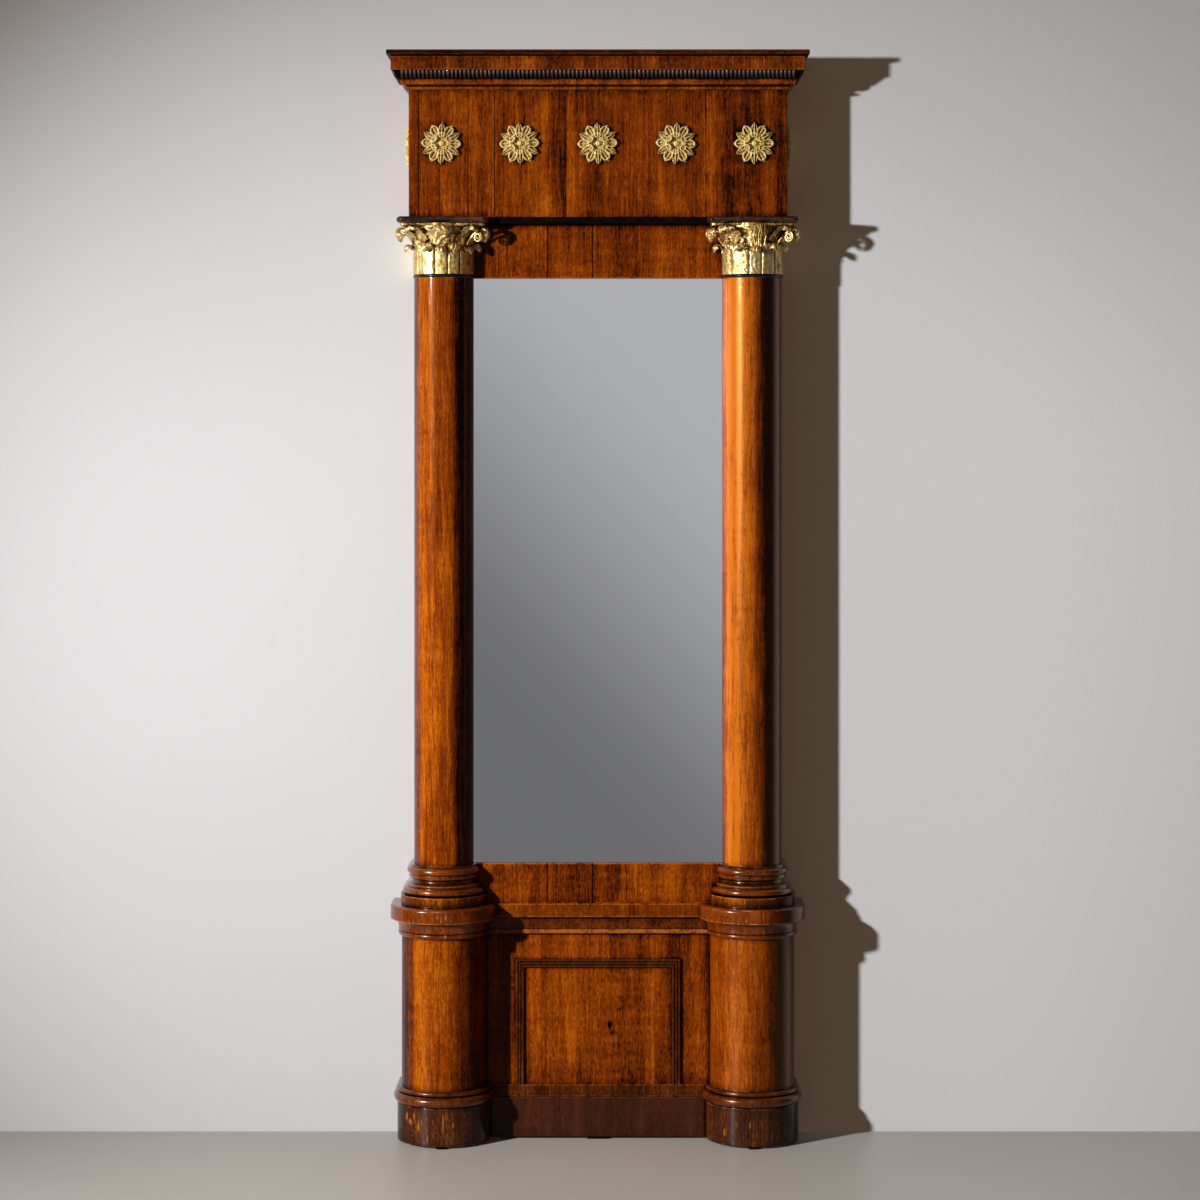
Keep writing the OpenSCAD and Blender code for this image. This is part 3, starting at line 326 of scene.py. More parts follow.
def fitted(piece, finish, slot, *nodes):
    """Gives a piece its finish, fixes it to the standing body and lets it stand for its CAD node."""
    piece.data.materials.append(finish)
    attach(piece, "root")
    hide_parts(*nodes)


def refinished(finish, *nodes):
    """Gives CAD nodes that stay as they are a better material."""
    for node in nodes:
        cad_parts[node].data.materials[0] = finish


def bay(side, inner=AXIS, steps=96):
    """Stations of a half-round path about a column's axis: along the outer side from the wall, round
    the front by the cosine and sine of half a turn, and inner mm back again."""
    turn = np.linspace(0, math.pi, steps + 1)
    way, shift = np.stack([np.cos(turn), np.sin(turn)], 1), np.zeros(steps + 1)
    if inner:
        way = np.concatenate([[[1, 0]] * 3, way, [[-1, 0]] * 3])
        shift = np.concatenate([np.array([1, 0.5, 0.02]) * AXIS, shift, np.array([0.02, 0.5, 1]) * inner])
    level = 0 * shift
    return np.stack([level + side * COLUMN_X, AXIS - shift, level, side * way[:, 0], way[:, 1], level], 1)


def patches(depth, *rows):
    """Places on a veneer from rows [across, backward, up, half width, half height], with an amount
    or none, in metres. The depth is how far each one reaches through the wood."""
    return [((x, y, z), (width, depth, height), *amount) for x, y, z, width, height, *amount in rows]


def bands(up, *rows):
    """Upright bands of painted shade (amount below 0) and painted light (above 0), from rows
    [across, half width, amount], strongest at one height.
    """
    return [((x, 0, up), (width, 9, 9), amount) for x, width, amount in rows]


def polished_wood(name, dark, middle, light, along="Z", streak=26.0, contrast=1.0, mottle=1.0, leaf=0.0,
                  leaf_shift=0.0, rough=0.36, coat=0.10, coat_rough=0.14, gloss=0.03, scratches=0.0, grime_and_shade=1.0,
                  scratch_colour=(0.55, 0.18, 0.03), cracks=0.0, spots=(), shade=(), seams=(), wear=1.0,
                  chips_and_glints=(), chipped=0.0):
    """Polished mahogany: broad streaks, narrow streaks, short flecks and fine fibres, all noises
    drawn out along the grain, with a soft mottle over them. A leaf is one width of veneer: each
    has its own part of the pattern and a fine dark seam. Spots are dark knots, and shades are soft
    darker or lighter patches: some are the veneer's own tone, some painted shade and painted light.
    Scratches show the raw wood, and cracks run with the grain. Dirt and painted shade darken inner
    corners and the hollows found by ambient occlusion. Chip marks are light broken places, partly
    painted glints, and chipped is their share along the edges marked by wear."""
    wood = material(name)
    home = place = wood.where["Object"]
    east = wood.put("SeparateXYZ", {0: home}).outputs[0]
    seam = 0.0
    if leaf:
        count = wood.sums("DIVIDE", wood.plus(east, leaf_shift), leaf)
        number = wood.sums("FLOOR", count)
        offset = wood.put("CombineXYZ", {i: wood.times(number, step) for i, step in enumerate((0.37, 1.31, 2.17))})
        place = wood.put("VectorMath", {0: home, 1: offset.outputs[0]}, operation="ADD").outputs[0]
        seam = wood.slope(wood.apart(wood.sums("FRACT", count), 0.5), 0.5 - 0.0009 / leaf, 0.5, 0.0, 0.35)
    for across in seams:
        seam = wood.plus(seam, wood.slope(wood.apart(east, across), 0.0006, 0.0014, 0.45, 0.0))

    def drawn(across_scale, along_scale, *more):
        stretch = [across_scale] * 3
        stretch["XYZ".index(along)] = along_scale
        return wood.noise(place, stretch, *more)

    def away_from(centre, size):
        offset = wood.put("VectorMath", {0: home, 1: centre}, operation="SUBTRACT").outputs[0]
        near = wood.put("VectorMath", {0: offset, 1: size}, operation="DIVIDE").outputs[0]
        return wood.put("VectorMath", {0: near}, operation="LENGTH").outputs["Value"]

    blotch = drawn(15, 7, 5.0, 0.6)
    fibre = drawn(950, 15, 2.0)
    tone = wood.scaled(fibre, 0.56, 0.21)
    for noise, gain in ((drawn(streak * 0.55, 0.7, 2.0, 0.5, 0.4), 0.80 * contrast),
                        (drawn(streak * 2.0, 1.9, 4.0, 0.55), 0.52 * contrast),
                        (drawn(streak * 7, 11, 4.0, 0.66), 0.74 * contrast),
                        (drawn(250, 100, 4.0, 0.64), 0.95 * mottle),
                        (blotch, 0.66 * mottle), (drawn(9, 60), 0.34 * mottle)):
        tone = wood.swung(noise, gain, tone)
    for centre, size, amount in shade:
        tone = wood.plus(tone, wood.slope(away_from(centre, size), 0.45, 1.15, amount, 0.0, soft=True))
    pore = wood.slope(drawn(700, 48, 2.0), 0.58, 0.70, 0.0, 0.30)
    wear_and_light = wood.put("Attribute", attribute_name="wear_and_light").outputs["Fac"]
    ragged = wood.noise(home, 70, 5.0, 0.7)
    # Edges marked by wear turn lighter: rubbed wear, and on the cap rail's fillet a painted highlight
    rubbed_and_highlight = wood.times(wood.slope(wear_and_light, 0.1, 0.8), wood.slope(ragged, 0.40, 0.60, 0.02, 0.42 * wear))
    # Dirt and painted shade: inner corners and hollows found by ambient occlusion are darkened
    corner_dirt_and_shade = wood.slope(wear_and_light, 0.0, -0.8, 0.0, 0.5 * grime_and_shade)
    open_air = wood.put("AmbientOcclusion", {"Distance": 0.016}, samples=4).outputs["AO"]
    hollow_dirt_and_shade = wood.slope(open_air, 0.35, 0.92, 0.55 * grime_and_shade, 0.0)
    tone = wood.plus(tone, rubbed_and_highlight)
    for darker in (seam, pore, corner_dirt_and_shade, hollow_dirt_and_shade):
        tone = wood.less(tone, darker)
    for centre, size, amount in spots:
        away = wood.scaled(ragged, 0.8, away_from(centre, size))
        tone = wood.less(tone, wood.slope(away, 0.7, 1.6, amount, 0.0, soft=True))
    if cracks:
        split = drawn(38, 3.0, 3.0, 0.45)
        tone = wood.less(tone, wood.slope(wood.apart(split, 0.5), 0.0, 0.007, cracks, 0.0))
    deepest = tuple(0.25 * c for c in dark)
    half_way = tuple(0.45 * a + 0.55 * b for a, b in zip(dark, middle))
    colour = wood.ramp(tone, [(0.0, deepest), (0.13, dark), (0.33, half_way), (0.52, middle), (0.84, light)])
    if scratches:
        where = wood.slope(wood.noise(home, 22, 3.0, 0.6), 0.50, 0.62, 0.0, scratches)
        mark = wood.times(wood.slope(drawn(170, 22, 5.0, 0.78), 0.60, 0.66), where)
        colour = wood.mixed(mark, colour, (*scratch_colour, 1))
    if chips_and_glints or chipped:
        broken = wood.noise(home, 420, 3.0, 0.65)
        bare_and_glint = wood.slope(wood.times(wear_and_light, broken), 0.58, 0.64, 0.0, chipped)
        for centre, size in chips_and_glints:
            away = wood.scaled(broken, 2.4, away_from(centre, size))
            bare_and_glint = wood.most(bare_and_glint, wood.slope(away, 1.30, 1.95, 0.55, 0.0))
        colour = wood.mixed(bare_and_glint, colour, (0.70, 0.50, 0.34, 1))
    relief = wood.scaled(wood.noise(home, (7, 7, 5), 1.0), 6.0, wood.times(fibre, 0.12))
    bump = wood.bump(wood.less(relief, wood.times(pore, 0.5)), 0.35, 0.0006)
    return wood.done({
        "Base Color": colour, "Roughness": wood.scaled(blotch, 0.16, rough - 0.08), "Specular IOR Level": gloss,
        "Specular Tint": (1.0, 0.40, 0.10, 1), "Coat Weight": coat, "Coat Roughness": coat_rough,
        "Coat IOR": 1.45, "Normal": bump, "Coat Normal": bump})


DEEP = (0.036, 0.0048, 0.0005)
BROWN = (0.27, 0.0425, 0.0011)
ORANGE = (0.56, 0.118, 0.0034)
# Painted shade: darker bands down the outer side of each drum
drum_wood = polished_wood(
    "drum_mahogany", (0.010, 0.0024, 0.0008), (0.066, 0.0140, 0.0036), (0.50, 0.145, 0.012), contrast=0.45,
    mottle=0.5, scratches=1.0, scratch_colour=(0.60, 0.19, 0.02), rough=0.30, coat=0.5, cracks=0.3, grime_and_shade=1.6,
    shade=bands(0.05, (-0.462, 0.026, -0.25), (0.452, 0.016, -0.15)),
    spots=patches(0.1, (-0.436, -0.05, 0.068, 0.0026, 0.012, -0.42), (-0.428, -0.05, 0.058, 0.0040, 0.009, -0.34),
                  (-0.419, -0.06, 0.072, 0.0022, 0.009, -0.36), (-0.409, -0.06, 0.050, 0.0030, 0.014, -0.36),
                  (-0.401, -0.06, 0.062, 0.0018, 0.010, -0.34), (-0.352, -0.08, 0.060, 0.0026, 0.020, -0.28),
                  (-0.330, -0.08, 0.055, 0.0024, 0.007, -0.34), (0.288, -0.08, 0.034, 0.0022, 0.010, -0.30),
                  (0.345, -0.08, 0.055, 0.0024, 0.010, -0.34)))
drum_section = eased([[83, FLOOR_PAD], [107, FLOOR_PAD], [107, DRUM_TOP], [83, DRUM_TOP]], 1.6)
for side, word in SIDES:
    fitted(carried(f"drum_{word}_veneered", drum_section, bay(side)), drum_wood, "dark_mahogany",
           f"foot_drum_{word}")
refinished(polished_wood("pad_felt", (0.004, 0.003, 0.002), (0.010, 0.007, 0.005), (0.03, 0.02, 0.012), coat=0.0),
           "floor_pads")

# ---- Foot rings: a large torus with a small bead over it, between drum and pedestal ----
# Each is worked round the half drum in short cross-grained blocks, which show as fine cracks.
# They are stained darker than the pedestals, and shine where cloths have rubbed them.
RING_TOP = 128


def arc(centre, reach, start, end, steps=10):
    """Points round a centre by the cosine and sine of the angles from start to end, in degrees. The
    reach is one radius, or one across and one up."""
    turn = np.radians(np.linspace(start, end, steps + 1))
    return (np.array(centre) + np.array(reach) * np.stack([np.cos(turn), np.sin(turn)], 1)).tolist()


def half_round(reach, low, high):
    """A half-round edge that bulges out as far as its reach."""
    radius = (high - low) / 2
    return arc((reach - radius, low + radius), radius, -90, 90, 20)


ring_wood = polished_wood(
    "ring_mahogany", (0.020, 0.0034, 0.0007), (0.12, 0.022, 0.0020), (0.36, 0.082, 0.006), streak=40,
    cracks=0.5, rough=0.30, gloss=0.5, coat=0.6, coat_rough=0.16, grime_and_shade=1.6)
ring_section = eased(half_round(115, DRUM_TOP, 117) + half_round(108, 117, RING_TOP), 0.8, closed=False)
for side, word in SIDES:
    fitted(carried(f"foot_ring_{word}_turned", ring_section, bay(side), loops=False), ring_wood,
           "dark_mahogany", f"foot_ring_{word}")

# ---- Pedestals: hollow half-round bodies that carry the columns ----
# Staves glued up to a half round and covered with one sheet of straight-grained veneer each.
# Painted shade darkens each pedestal's right flank and a band at its left edge, and the right
# pedestal carries a painted highlight left of its middle.
PEDESTAL_TOP = 487.5
pedestal_section = eased([[79, RING_TOP], [97, RING_TOP], [97, PEDESTAL_TOP], [79, PEDESTAL_TOP]], 0.5)
for (side, word), gloss, painted_highlight, edge_shade in zip(SIDES, (0.16, 0.7), (0.0, 0.16), (-0.20, -0.17)):
    middle = side * COLUMN_X * MM
    pedestal_wood = polished_wood(
        f"pedestal_mahogany_{word}", DEEP, (0.33, 0.054, 0.0013), (0.68, 0.165, 0.005), streak=22,
        contrast=1.05, mottle=0.8, rough=0.34, gloss=gloss, coat=0.12,
        shade=bands(0.3, (middle + 0.082, 0.062, -0.27), (middle - 0.043, 0.022, painted_highlight),
                    (middle - 0.100, 0.034, edge_shade)))
    fitted(carried(f"pedestal_{word}_veneered", pedestal_section, bay(side, steps=128)), pedestal_wood,
           "mahogany", f"pedestal_{word}")

# ---- Pedestal collars and caps: a bead, then a cove under a thick slab ----
# The bead and the slab's edge are of short cross-grained pieces, rubbed and scuffed at the front,
# where the thin light lines along the slab's edges are painted glints. Painted shade darkens the
# right flank of each cap and a band at the left cap's outer edge. The slab's upper edge is rounded
# by wear, and its top is bare round the column's plinth.
COLLAR_FOOT, CAP_TOP = 474, 545


def cove(start, end):
    """A hollow quarter, upright at its start and level at its end."""
    return arc((end[0], start[1]), (start[0] - end[0], end[1] - start[1]), 0, 90)


# Painted shade on the caps' right flanks and left edge; the long thin chip marks are painted glints
cap_wood = polished_wood(
    "cap_mahogany", (0.028, 0.0042, 0.0006), (0.22, 0.035, 0.0013), (0.60, 0.135, 0.006), streak=34,
    contrast=0.55, mottle=0.8, cracks=0.55, rough=0.28, gloss=0.4, coat=0.6, coat_rough=0.15, grime_and_shade=2.0,
    wear=1.2, chipped=0.7, shade=bands(0.5, (-0.475, 0.020, -0.14), (-0.262, 0.034, -0.16), (0.437, 0.040, -0.14)),
    chips_and_glints=patches(0.02, (-0.365, -0.097, 0.530, 0.0020, 0.010), (-0.356, -0.097, 0.522, 0.0014, 0.008),
                  (-0.344, -0.098, 0.528, 0.0022, 0.009), (-0.333, -0.095, 0.521, 0.0016, 0.006),
                  (-0.366, -0.095, 0.541, 0.0180, 0.0022), (-0.347, -0.080, 0.482, 0.0040, 0.006),
                  (0.336, -0.097, 0.520, 0.0020, 0.007), (0.352, -0.097, 0.5135, 0.0160, 0.0022),
                  (0.375, -0.096, 0.528, 0.0014, 0.013), (0.340, -0.097, 0.5435, 0.0240, 0.0016)))
collar_section = eased(half_round(105, COLLAR_FOOT, PEDESTAL_TOP), 0.6, closed=False)
cap_section = eased(cove([104, PEDESTAL_TOP], [116, 512]) + [[123, 512]] + arc((116, 538), 7, 0, 90, 6), 1.4,
                    closed=False)
for side, word in SIDES:
    fitted(carried(f"collar_{word}_turned", collar_section, bay(side, inner=14), loops=False), cap_wood,
           "mahogany", f"pedestal_collar_{word}")
    fitted(carried(f"cap_{word}_turned", cap_section, bay(side), loops=False), cap_wood, "mahogany",
           f"pedestal_cap_{word}")

# ---- Plinth board and ledge between the drums ----
# A dark stained board on edge, with a thin brown ledge nailed over it. The board's top edge is
# knocked pale in places, and the ledge keeps some of its old colour.


def plank(name, low, high, ease=1.0, along=0):
    """A board between two corners. Its section is eased, and its ends draw in by the square of the
    distance to the last bit of its length."""
    low, high = np.array(low, float), np.array(high, float)
    first, second = [k for k in range(3) if k != along]
    section, wear_and_light = eased([[low[first], low[second]], [high[first], low[second]],
                           [high[first], high[second]], [low[first], high[second]]], ease)
    span = high[along] - low[along]
    near_end = np.array([0, 0.3, 1, 4])
    steps = np.concatenate([near_end, np.linspace(8, span / ease - 8, 9), span / ease - near_end[::-1]]) * ease
    inset = ease * np.clip(1 - np.minimum(steps, span - steps) / ease, 0, 1) ** 2
    outward_side = np.sign(section - (low + high)[[first, second]] / 2)
    place = np.empty((len(steps), len(section), 3))
    place[..., along] = low[along] + steps[:, None]
    place[..., (first, second)] = section - outward_side * inset[:, None, None]
    return solid(name, *shell(place), np.maximum(wear_and_light, (inset / ease)[:, None]).reshape(-1))


plinth_wood = polished_wood(
    "plinth_mahogany", (0.020, 0.0050, 0.0020), (0.075, 0.0180, 0.0070), (0.14, 0.038, 0.014), streak=30,
    contrast=0.6, mottle=0.5, coat=0.25, scratches=0.25, scratch_colour=(0.22, 0.10, 0.055))
ledge_wood = polished_wood(
    "ledge_mahogany", (0.020, 0.0040, 0.0008), (0.10, 0.0190, 0.0022), (0.27, 0.062, 0.006), streak=40,
    rough=0.32, scratches=0.4, wear=1.6, scratch_colour=(0.60, 0.36, 0.17))
fitted(plank("plinth_board_stained", [-248, 52, 5], [248, 74, 97], 1.2), plinth_wood, "dark_mahogany",
       "plinth_board")
fitted(plank("plinth_ledge_veneered", [-248, 46, 97], [248, 71, 125], 1.2), ledge_wood, "mahogany",
       "plinth_ledge")

# ---- Base panel and its reeded frame ----
# One flat panel, veneered with upright grain, and a small knot near its middle. Three dark
# reeded lengths are planted on it and mitred at the upper corners.
PANEL_FOOT, PANEL_FACE = 125, 66
FRAME_HALF, FRAME_TOP, FRAME_WIDTH, FRAME_THICKNESS = 190.5, 414, 20, 7
panel_wood = polished_wood(
    "panel_mahogany", DEEP, (0.31, 0.050, 0.0012), (0.60, 0.132, 0.0038), streak=24, coat=0.12,
    coat_rough=0.16, leaf=0.262, leaf_shift=0.131,
    spots=patches(0.05, (0.026, 0.033, 0.262, 0.0068, 0.0095, 0.50), (0.036, 0.033, 0.243, 0.0085, 0.0075, 0.22),
                  (0.050, 0.033, 0.298, 0.0035, 0.0035, 0.30), (-0.154, 0.033, 0.247, 0.003, 0.003, 0.25)),
    shade=patches(0.2, (0.0, 0.033, 0.14, 0.24, 0.03, -0.08), (-0.04, 0.033, 0.30, 0.13, 0.15, 0.05),
                  (0.087, 0.033, 0.26, 0.028, 0.08, 0.09), (0.225, 0.033, 0.30, 0.022, 9, -0.07)))
fitted(plank("base_panel_veneered", [-258, 54, PANEL_FOOT], [258, PANEL_FACE, COLLAR_FOOT], 0.8), panel_wood,
       "mahogany", "base_panel")

reed_wood = polished_wood(
    "reed_mahogany", (0.014, 0.0028, 0.0006), (0.10, 0.0185, 0.0014), (0.36, 0.084, 0.005), contrast=0.4,
    mottle=0.8, rough=0.28, coat=0.4, coat_rough=0.12, grime_and_shade=1.6)
reed = FRAME_WIDTH / 6
reeds = [[0, 0], [0, FRAME_THICKNESS - reed]]
for number in range(3):
    reeds += arc((reed * (2 * number + 1), FRAME_THICKNESS - reed), reed, 180, 0, 8)[1:]
round_the_field = [[-FRAME_HALF, PANEL_FACE, PANEL_FOOT, 1, 0, 0], [-FRAME_HALF, PANEL_FACE, FRAME_TOP, 1, 0, -1],
                   [FRAME_HALF, PANEL_FACE, FRAME_TOP, -1, 0, -1], [FRAME_HALF, PANEL_FACE, PANEL_FOOT, -1, 0, 0]]
fitted(carried("panel_moulding_reeded", eased(reeds + [[FRAME_WIDTH, 0]], 0.5), round_the_field, rise=(0, 1, 0)),
       reed_wood, "dark_mahogany", "panel_moulding")

# ---- Base cap rail: fillet, cove and fascia under the lower rail ----
# A cross-grained moulding over the panel. Its fillet is rubbed and carries a painted highlight,
# and painted shade darkens its cove.


def straight(half):
    """Stations straight across between -half and half, where an outline is [forward, up]."""
    return [[x, 0, 0, 0, 1, 0] for x in np.linspace(-half, half, 5)]


# Painted shade: a darker band at the height of the cove under the fascia
rail_cap_wood = polished_wood(
    "cap_rail_mahogany", DEEP, (0.26, 0.044, 0.0015), (0.52, 0.125, 0.005), streak=34, contrast=0.7, mottle=0.8,
    leaf=0.131, leaf_shift=0.06, coat=0.25, grime_and_shade=1.6, wear=1.8, chipped=0.5,
    shade=[((0.0, 0.0, 0.498), (9, 9, 0.018), -0.12)])
outline, wear_and_light = eased([[48, COLLAR_FOOT], [76, COLLAR_FOOT], [76, 483]] + cove([73, 483], [85, 514])
                      + [[92, 514], [92, CAP_TOP], [48, CAP_TOP]], 1.0)
# Painted highlight: the fillet's front is marked as fully rubbed, lightening it as wear and highlight
wear_and_light[(outline[:, 1] < 484) & (outline[:, 0] > 72)] = 1.0
fitted(carried("base_cap_rail_moulded", (outline, wear_and_light), straight(258)), rail_cap_wood, "mahogany",
       "base_cap_rail")

# ---- Stiles behind the columns ----
# Long pine boards veneered on the face and the outer edge. They carry the half columns and hold
# the glass in a rebate, and only their outer edges are seen.
refinished(polished_wood("stile_mahogany", DEEP, (0.17, 0.030, 0.0014), (0.36, 0.085, 0.004)), "stile_left",
           "stile_right")

# ---- Column plinths and turned bases ----
# A low round plinth, then torus, fillet, scotia, fillet, torus and fillet, turned as a ring and
# cut in half. Highly polished, with dark wax and painted shade in the grooves and fine cracks
# across the beads.
COLUMN_PLINTH_TOP, SHAFT_FOOT = 568, 637


def scotia(start, end, deepest, steps=14):
    """A hollow between two fillets: a straight line less a sine that reaches in to the deepest."""
    s = np.linspace(0, 1, steps + 1)[:, None]
    hollow = (start[0] + end[0]) / 2 - deepest
    return (start + (np.array(end) - start) * s - [hollow, 0] * np.sin(math.pi * s)).tolist()


base_wood = polished_wood(
    "column_base_mahogany", (0.022, 0.0036, 0.0005), (0.20, 0.032, 0.0011), (0.55, 0.128, 0.005), streak=44,
    cracks=0.6, rough=0.28, gloss=0.7, coat=0.8, coat_rough=0.15, grime_and_shade=2.3, contrast=0.5, mottle=0.7, wear=1.6)
# Painted light: lighter bands on the side of each column plinth that faces the lamp
plinth_ring_wood = polished_wood(
    "column_plinth_mahogany", (0.018, 0.0034, 0.0007), (0.13, 0.025, 0.0018), (0.50, 0.125, 0.006), streak=40,
    contrast=0.5, mottle=0.8, cracks=0.4, rough=0.30, coat=0.4, scratches=0.3, grime_and_shade=1.5,
    shade=bands(0.55, (-0.372, 0.024, 0.20), (0.316, 0.026, 0.20)))
outline, wear_and_light = eased([[0, CAP_TOP], [99, CAP_TOP], [99, COLUMN_PLINTH_TOP], [0, COLUMN_PLINTH_TOP]], 1.5,
                      closed=False)
plinth_section = outline[1:-1], wear_and_light[1:-1]
base_section = eased(half_round(94.5, COLUMN_PLINTH_TOP, 586) + [[85, 586]] + scotia([85, 592], [80, 608], 74)
                     + [[80, 615]] + half_round(85, 615, 632) + [[76, 632], [76, SHAFT_FOOT]], 0.9, closed=False)
for side, word in SIDES:
    fitted(carried(f"column_plinth_{word}_turned", plinth_section, bay(side, inner=0.4), loops=False),
           plinth_ring_wood, "dark_mahogany", f"column_plinth_{word}")
    fitted(carried(f"column_base_{word}_turned", base_section, bay(side, inner=0.4), loops=False),
           base_wood, "mahogany", f"column_base_{word}")

# ---- Column shafts: half columns planted on the stiles ----
# Straight shafts without taper, covered with one sheet of veneer and polished more highly
# than any other part. Thin drip marks and small dents run down them.
SHAFT_TOP, SHAFT_RADIUS = 1983, 68.5
shaft_section = eased([[58, SHAFT_FOOT], [SHAFT_RADIUS, SHAFT_FOOT], [SHAFT_RADIUS, SHAFT_TOP],
                       [58, SHAFT_TOP]], 0.4)
# Painted shade on each shaft's right flank and left edge; painted light on the right shaft's left half
for (side, word), gloss, painted_light_band, flank in zip(SIDES, (0.14, 0.8), (0.0, 0.24), (0.051, 0.047)):
    middle = side * COLUMN_X * MM
    shaft_wood = polished_wood(
        f"shaft_mahogany_{word}", (0.030, 0.0044, 0.0006), (0.29, 0.045, 0.0010), (0.66, 0.152, 0.0036),
        contrast=1.35, mottle=0.62, rough=0.33, gloss=gloss, coat=0.35, coat_rough=0.055, scratches=0.10,
        scratch_colour=(0.70, 0.38, 0.14),
        shade=bands(1.3, (middle + flank, 0.032, -0.30), (middle - 0.036, 0.046, painted_light_band),
                    (middle - 0.044, 0.014, 0.9 * painted_light_band), (middle - 0.070, 0.012, -0.22)))
    fitted(carried(f"column_{word}_polished", shaft_section, bay(side, inner=0, steps=160)), shaft_wood,
           "mahogany", f"column_{word}")

# ---- Astragals over the shafts, abaci over the capitals ----
# Both are ebonised: stained black and polished, so that they show narrow cold highlights. The
# abacus has a half-round edge at the front and both sides, worn brown along its crest.
CAPITAL_FOOT, CAPITAL_TOP, ABACUS_TOP = 1991, 2107, 2122


def black_polish(name, body, rubbed_and_highlight, rough=0.30, coat=0.5, even=False):
    """Ebonised wood: a near-black stain with brown showing in streaks and along edges marked by wear.
    An even one shows it along those edges alone, and on the beads' tops this is a painted highlight."""
    black = material(name)
    home = black.where["Object"]
    streaks = black.noise(home, (45, 60, 60), 4.0, 0.65)
    specks = black.noise(home, 260, 3.0, 0.7)
    wear_and_light = black.put("Attribute", attribute_name="wear_and_light").outputs["Fac"]
    # On the beads, the even mask lays a painted highlight on each bead's top
    if even:
        bare_and_glint = black.times(wear_and_light, black.scaled(streaks, 1.2, 0.1))
    else:
        bare_and_glint = black.times(black.slope(streaks, 0.42, 0.68), black.scaled(wear_and_light, 0.5, 0.5))
    bare_and_glint = black.most(bare_and_glint, black.slope(specks, 0.66, 0.74, 0.0, 0.7))
    bump = black.bump(black.plus(streaks, black.times(specks, 0.3)), 0.25, 0.0006)
    return black.done({
        "Base Color": black.ramp(bare_and_glint, [(0.0, body), (1.0, rubbed_and_highlight)]), "Roughness": rough, "Coat Weight": coat,
        "Coat Roughness": 0.07, "Specular IOR Level": 0.15 if coat else 0.04, "Normal": bump, "Coat Normal": bump})


def slab_edge(side, half, front, steps=16):
    """Stations of a slab's edge: forward from the wall, a quarter turn at each front corner, and
    back. Half and front are the size of its core, on which the edge stands."""
    turn = np.linspace(0, math.pi / 2, steps + 1)
    level = 0 * turn
    right = np.concatenate([[[half, 0, 0, 1, 0, 0]], np.stack(
        [level + half, level + AXIS + front, level, np.cos(turn), np.sin(turn), level], 1)])
    stations = np.concatenate([right, right[::-1] * [-1, 1, 1, -1, 1, 1]])
    return stations * [side, 1, 1, side, 1, 1] + [side * COLUMN_X, 0, 0, 0, 0, 0]


astragal_black = black_polish("astragal_black", (0.006, 0.004, 0.0035), (0.045, 0.018, 0.007))
abacus_black = black_polish("abacus_black", (0.012, 0.0045, 0.0028), (0.16, 0.042, 0.010), 0.28, 0.9)
astragal_outline = np.array(half_round(71.5, SHAFT_TOP, CAPITAL_FOOT))
abacus_outline = np.array([[0, CAPITAL_TOP]] + half_round(16, CAPITAL_TOP, ABACUS_TOP) + [[0, ABACUS_TOP]])
crest = np.concatenate([[0], np.cos(np.linspace(-math.pi / 2, math.pi / 2, 21)) ** 2, [0]])
for side, word in SIDES:
    fitted(carried(f"astragal_{word}_turned", (astragal_outline, np.zeros(21)), bay(side, inner=0.4), loops=False),
           astragal_black, "ebonised_wood", f"astragal_{word}")
    fitted(carried(f"abacus_{word}_rounded", (abacus_outline, crest), slab_edge(side, 90, 65), loops=False),
           abacus_black, "ebonised_wood", f"abacus_{word}")

# ---- Capitals: carved in limewood, gessoed and gilt ----
# A straight bell with broad upright leaf panels, over which curled acanthus tips stand out in two
# tiers. Corner scrolls roll under a thin plate. The gilding is crazed and rubbed brown in places.
CAPITAL_HEIGHT, BELL = 116.0, 66.0


def through(points, count):
    """A smooth curve through given points: Catmull-Rom arcs, read off at equal lengths."""
    p = np.array(points, float)
    p = np.concatenate([2 * p[:1] - p[1:2], p, 2 * p[-1:] - p[-2:-1]])
    s = np.linspace(0, len(p) - 3 - 1e-9, 600)
    i = s.astype(int)
    t = (s - i)[:, None]
    a, b, c, d = p[i], p[i + 1], p[i + 2], p[i + 3]
    q = 0.5 * (2 * b + (c - a) * t + (2 * a - 5 * b + 4 * c - d) * t ** 2 + (3 * b - a - 3 * c + d) * t ** 3)
    length = np.concatenate([[0], np.cumsum(np.linalg.norm(np.diff(q, axis=0), axis=1))])
    return np.stack([np.interp(np.linspace(0, length[-1], count), length, q[:, k]) for k in (0, 1)], 1)


def outward(curve):
    """Unit normals of a curve: each of its steps, turned a quarter."""
    way = np.gradient(curve, axis=0)
    return np.stack([way[:, 1], -way[:, 0]], 1) / np.linalg.norm(way, axis=1)[:, None]


def round_bell(face, aside, turn):
    """Points [out from the bell, up], set aside, and turned round the bell by sine and cosine."""
    radial, low, high = BELL + face[..., 0], 1, CAPITAL_HEIGHT - 0.5
    return np.stack([radial * np.sin(turn) + aside * np.cos(turn), radial * np.cos(turn) - aside * np.sin(turn),
                     np.clip(face[..., 1], low, high)], -1)


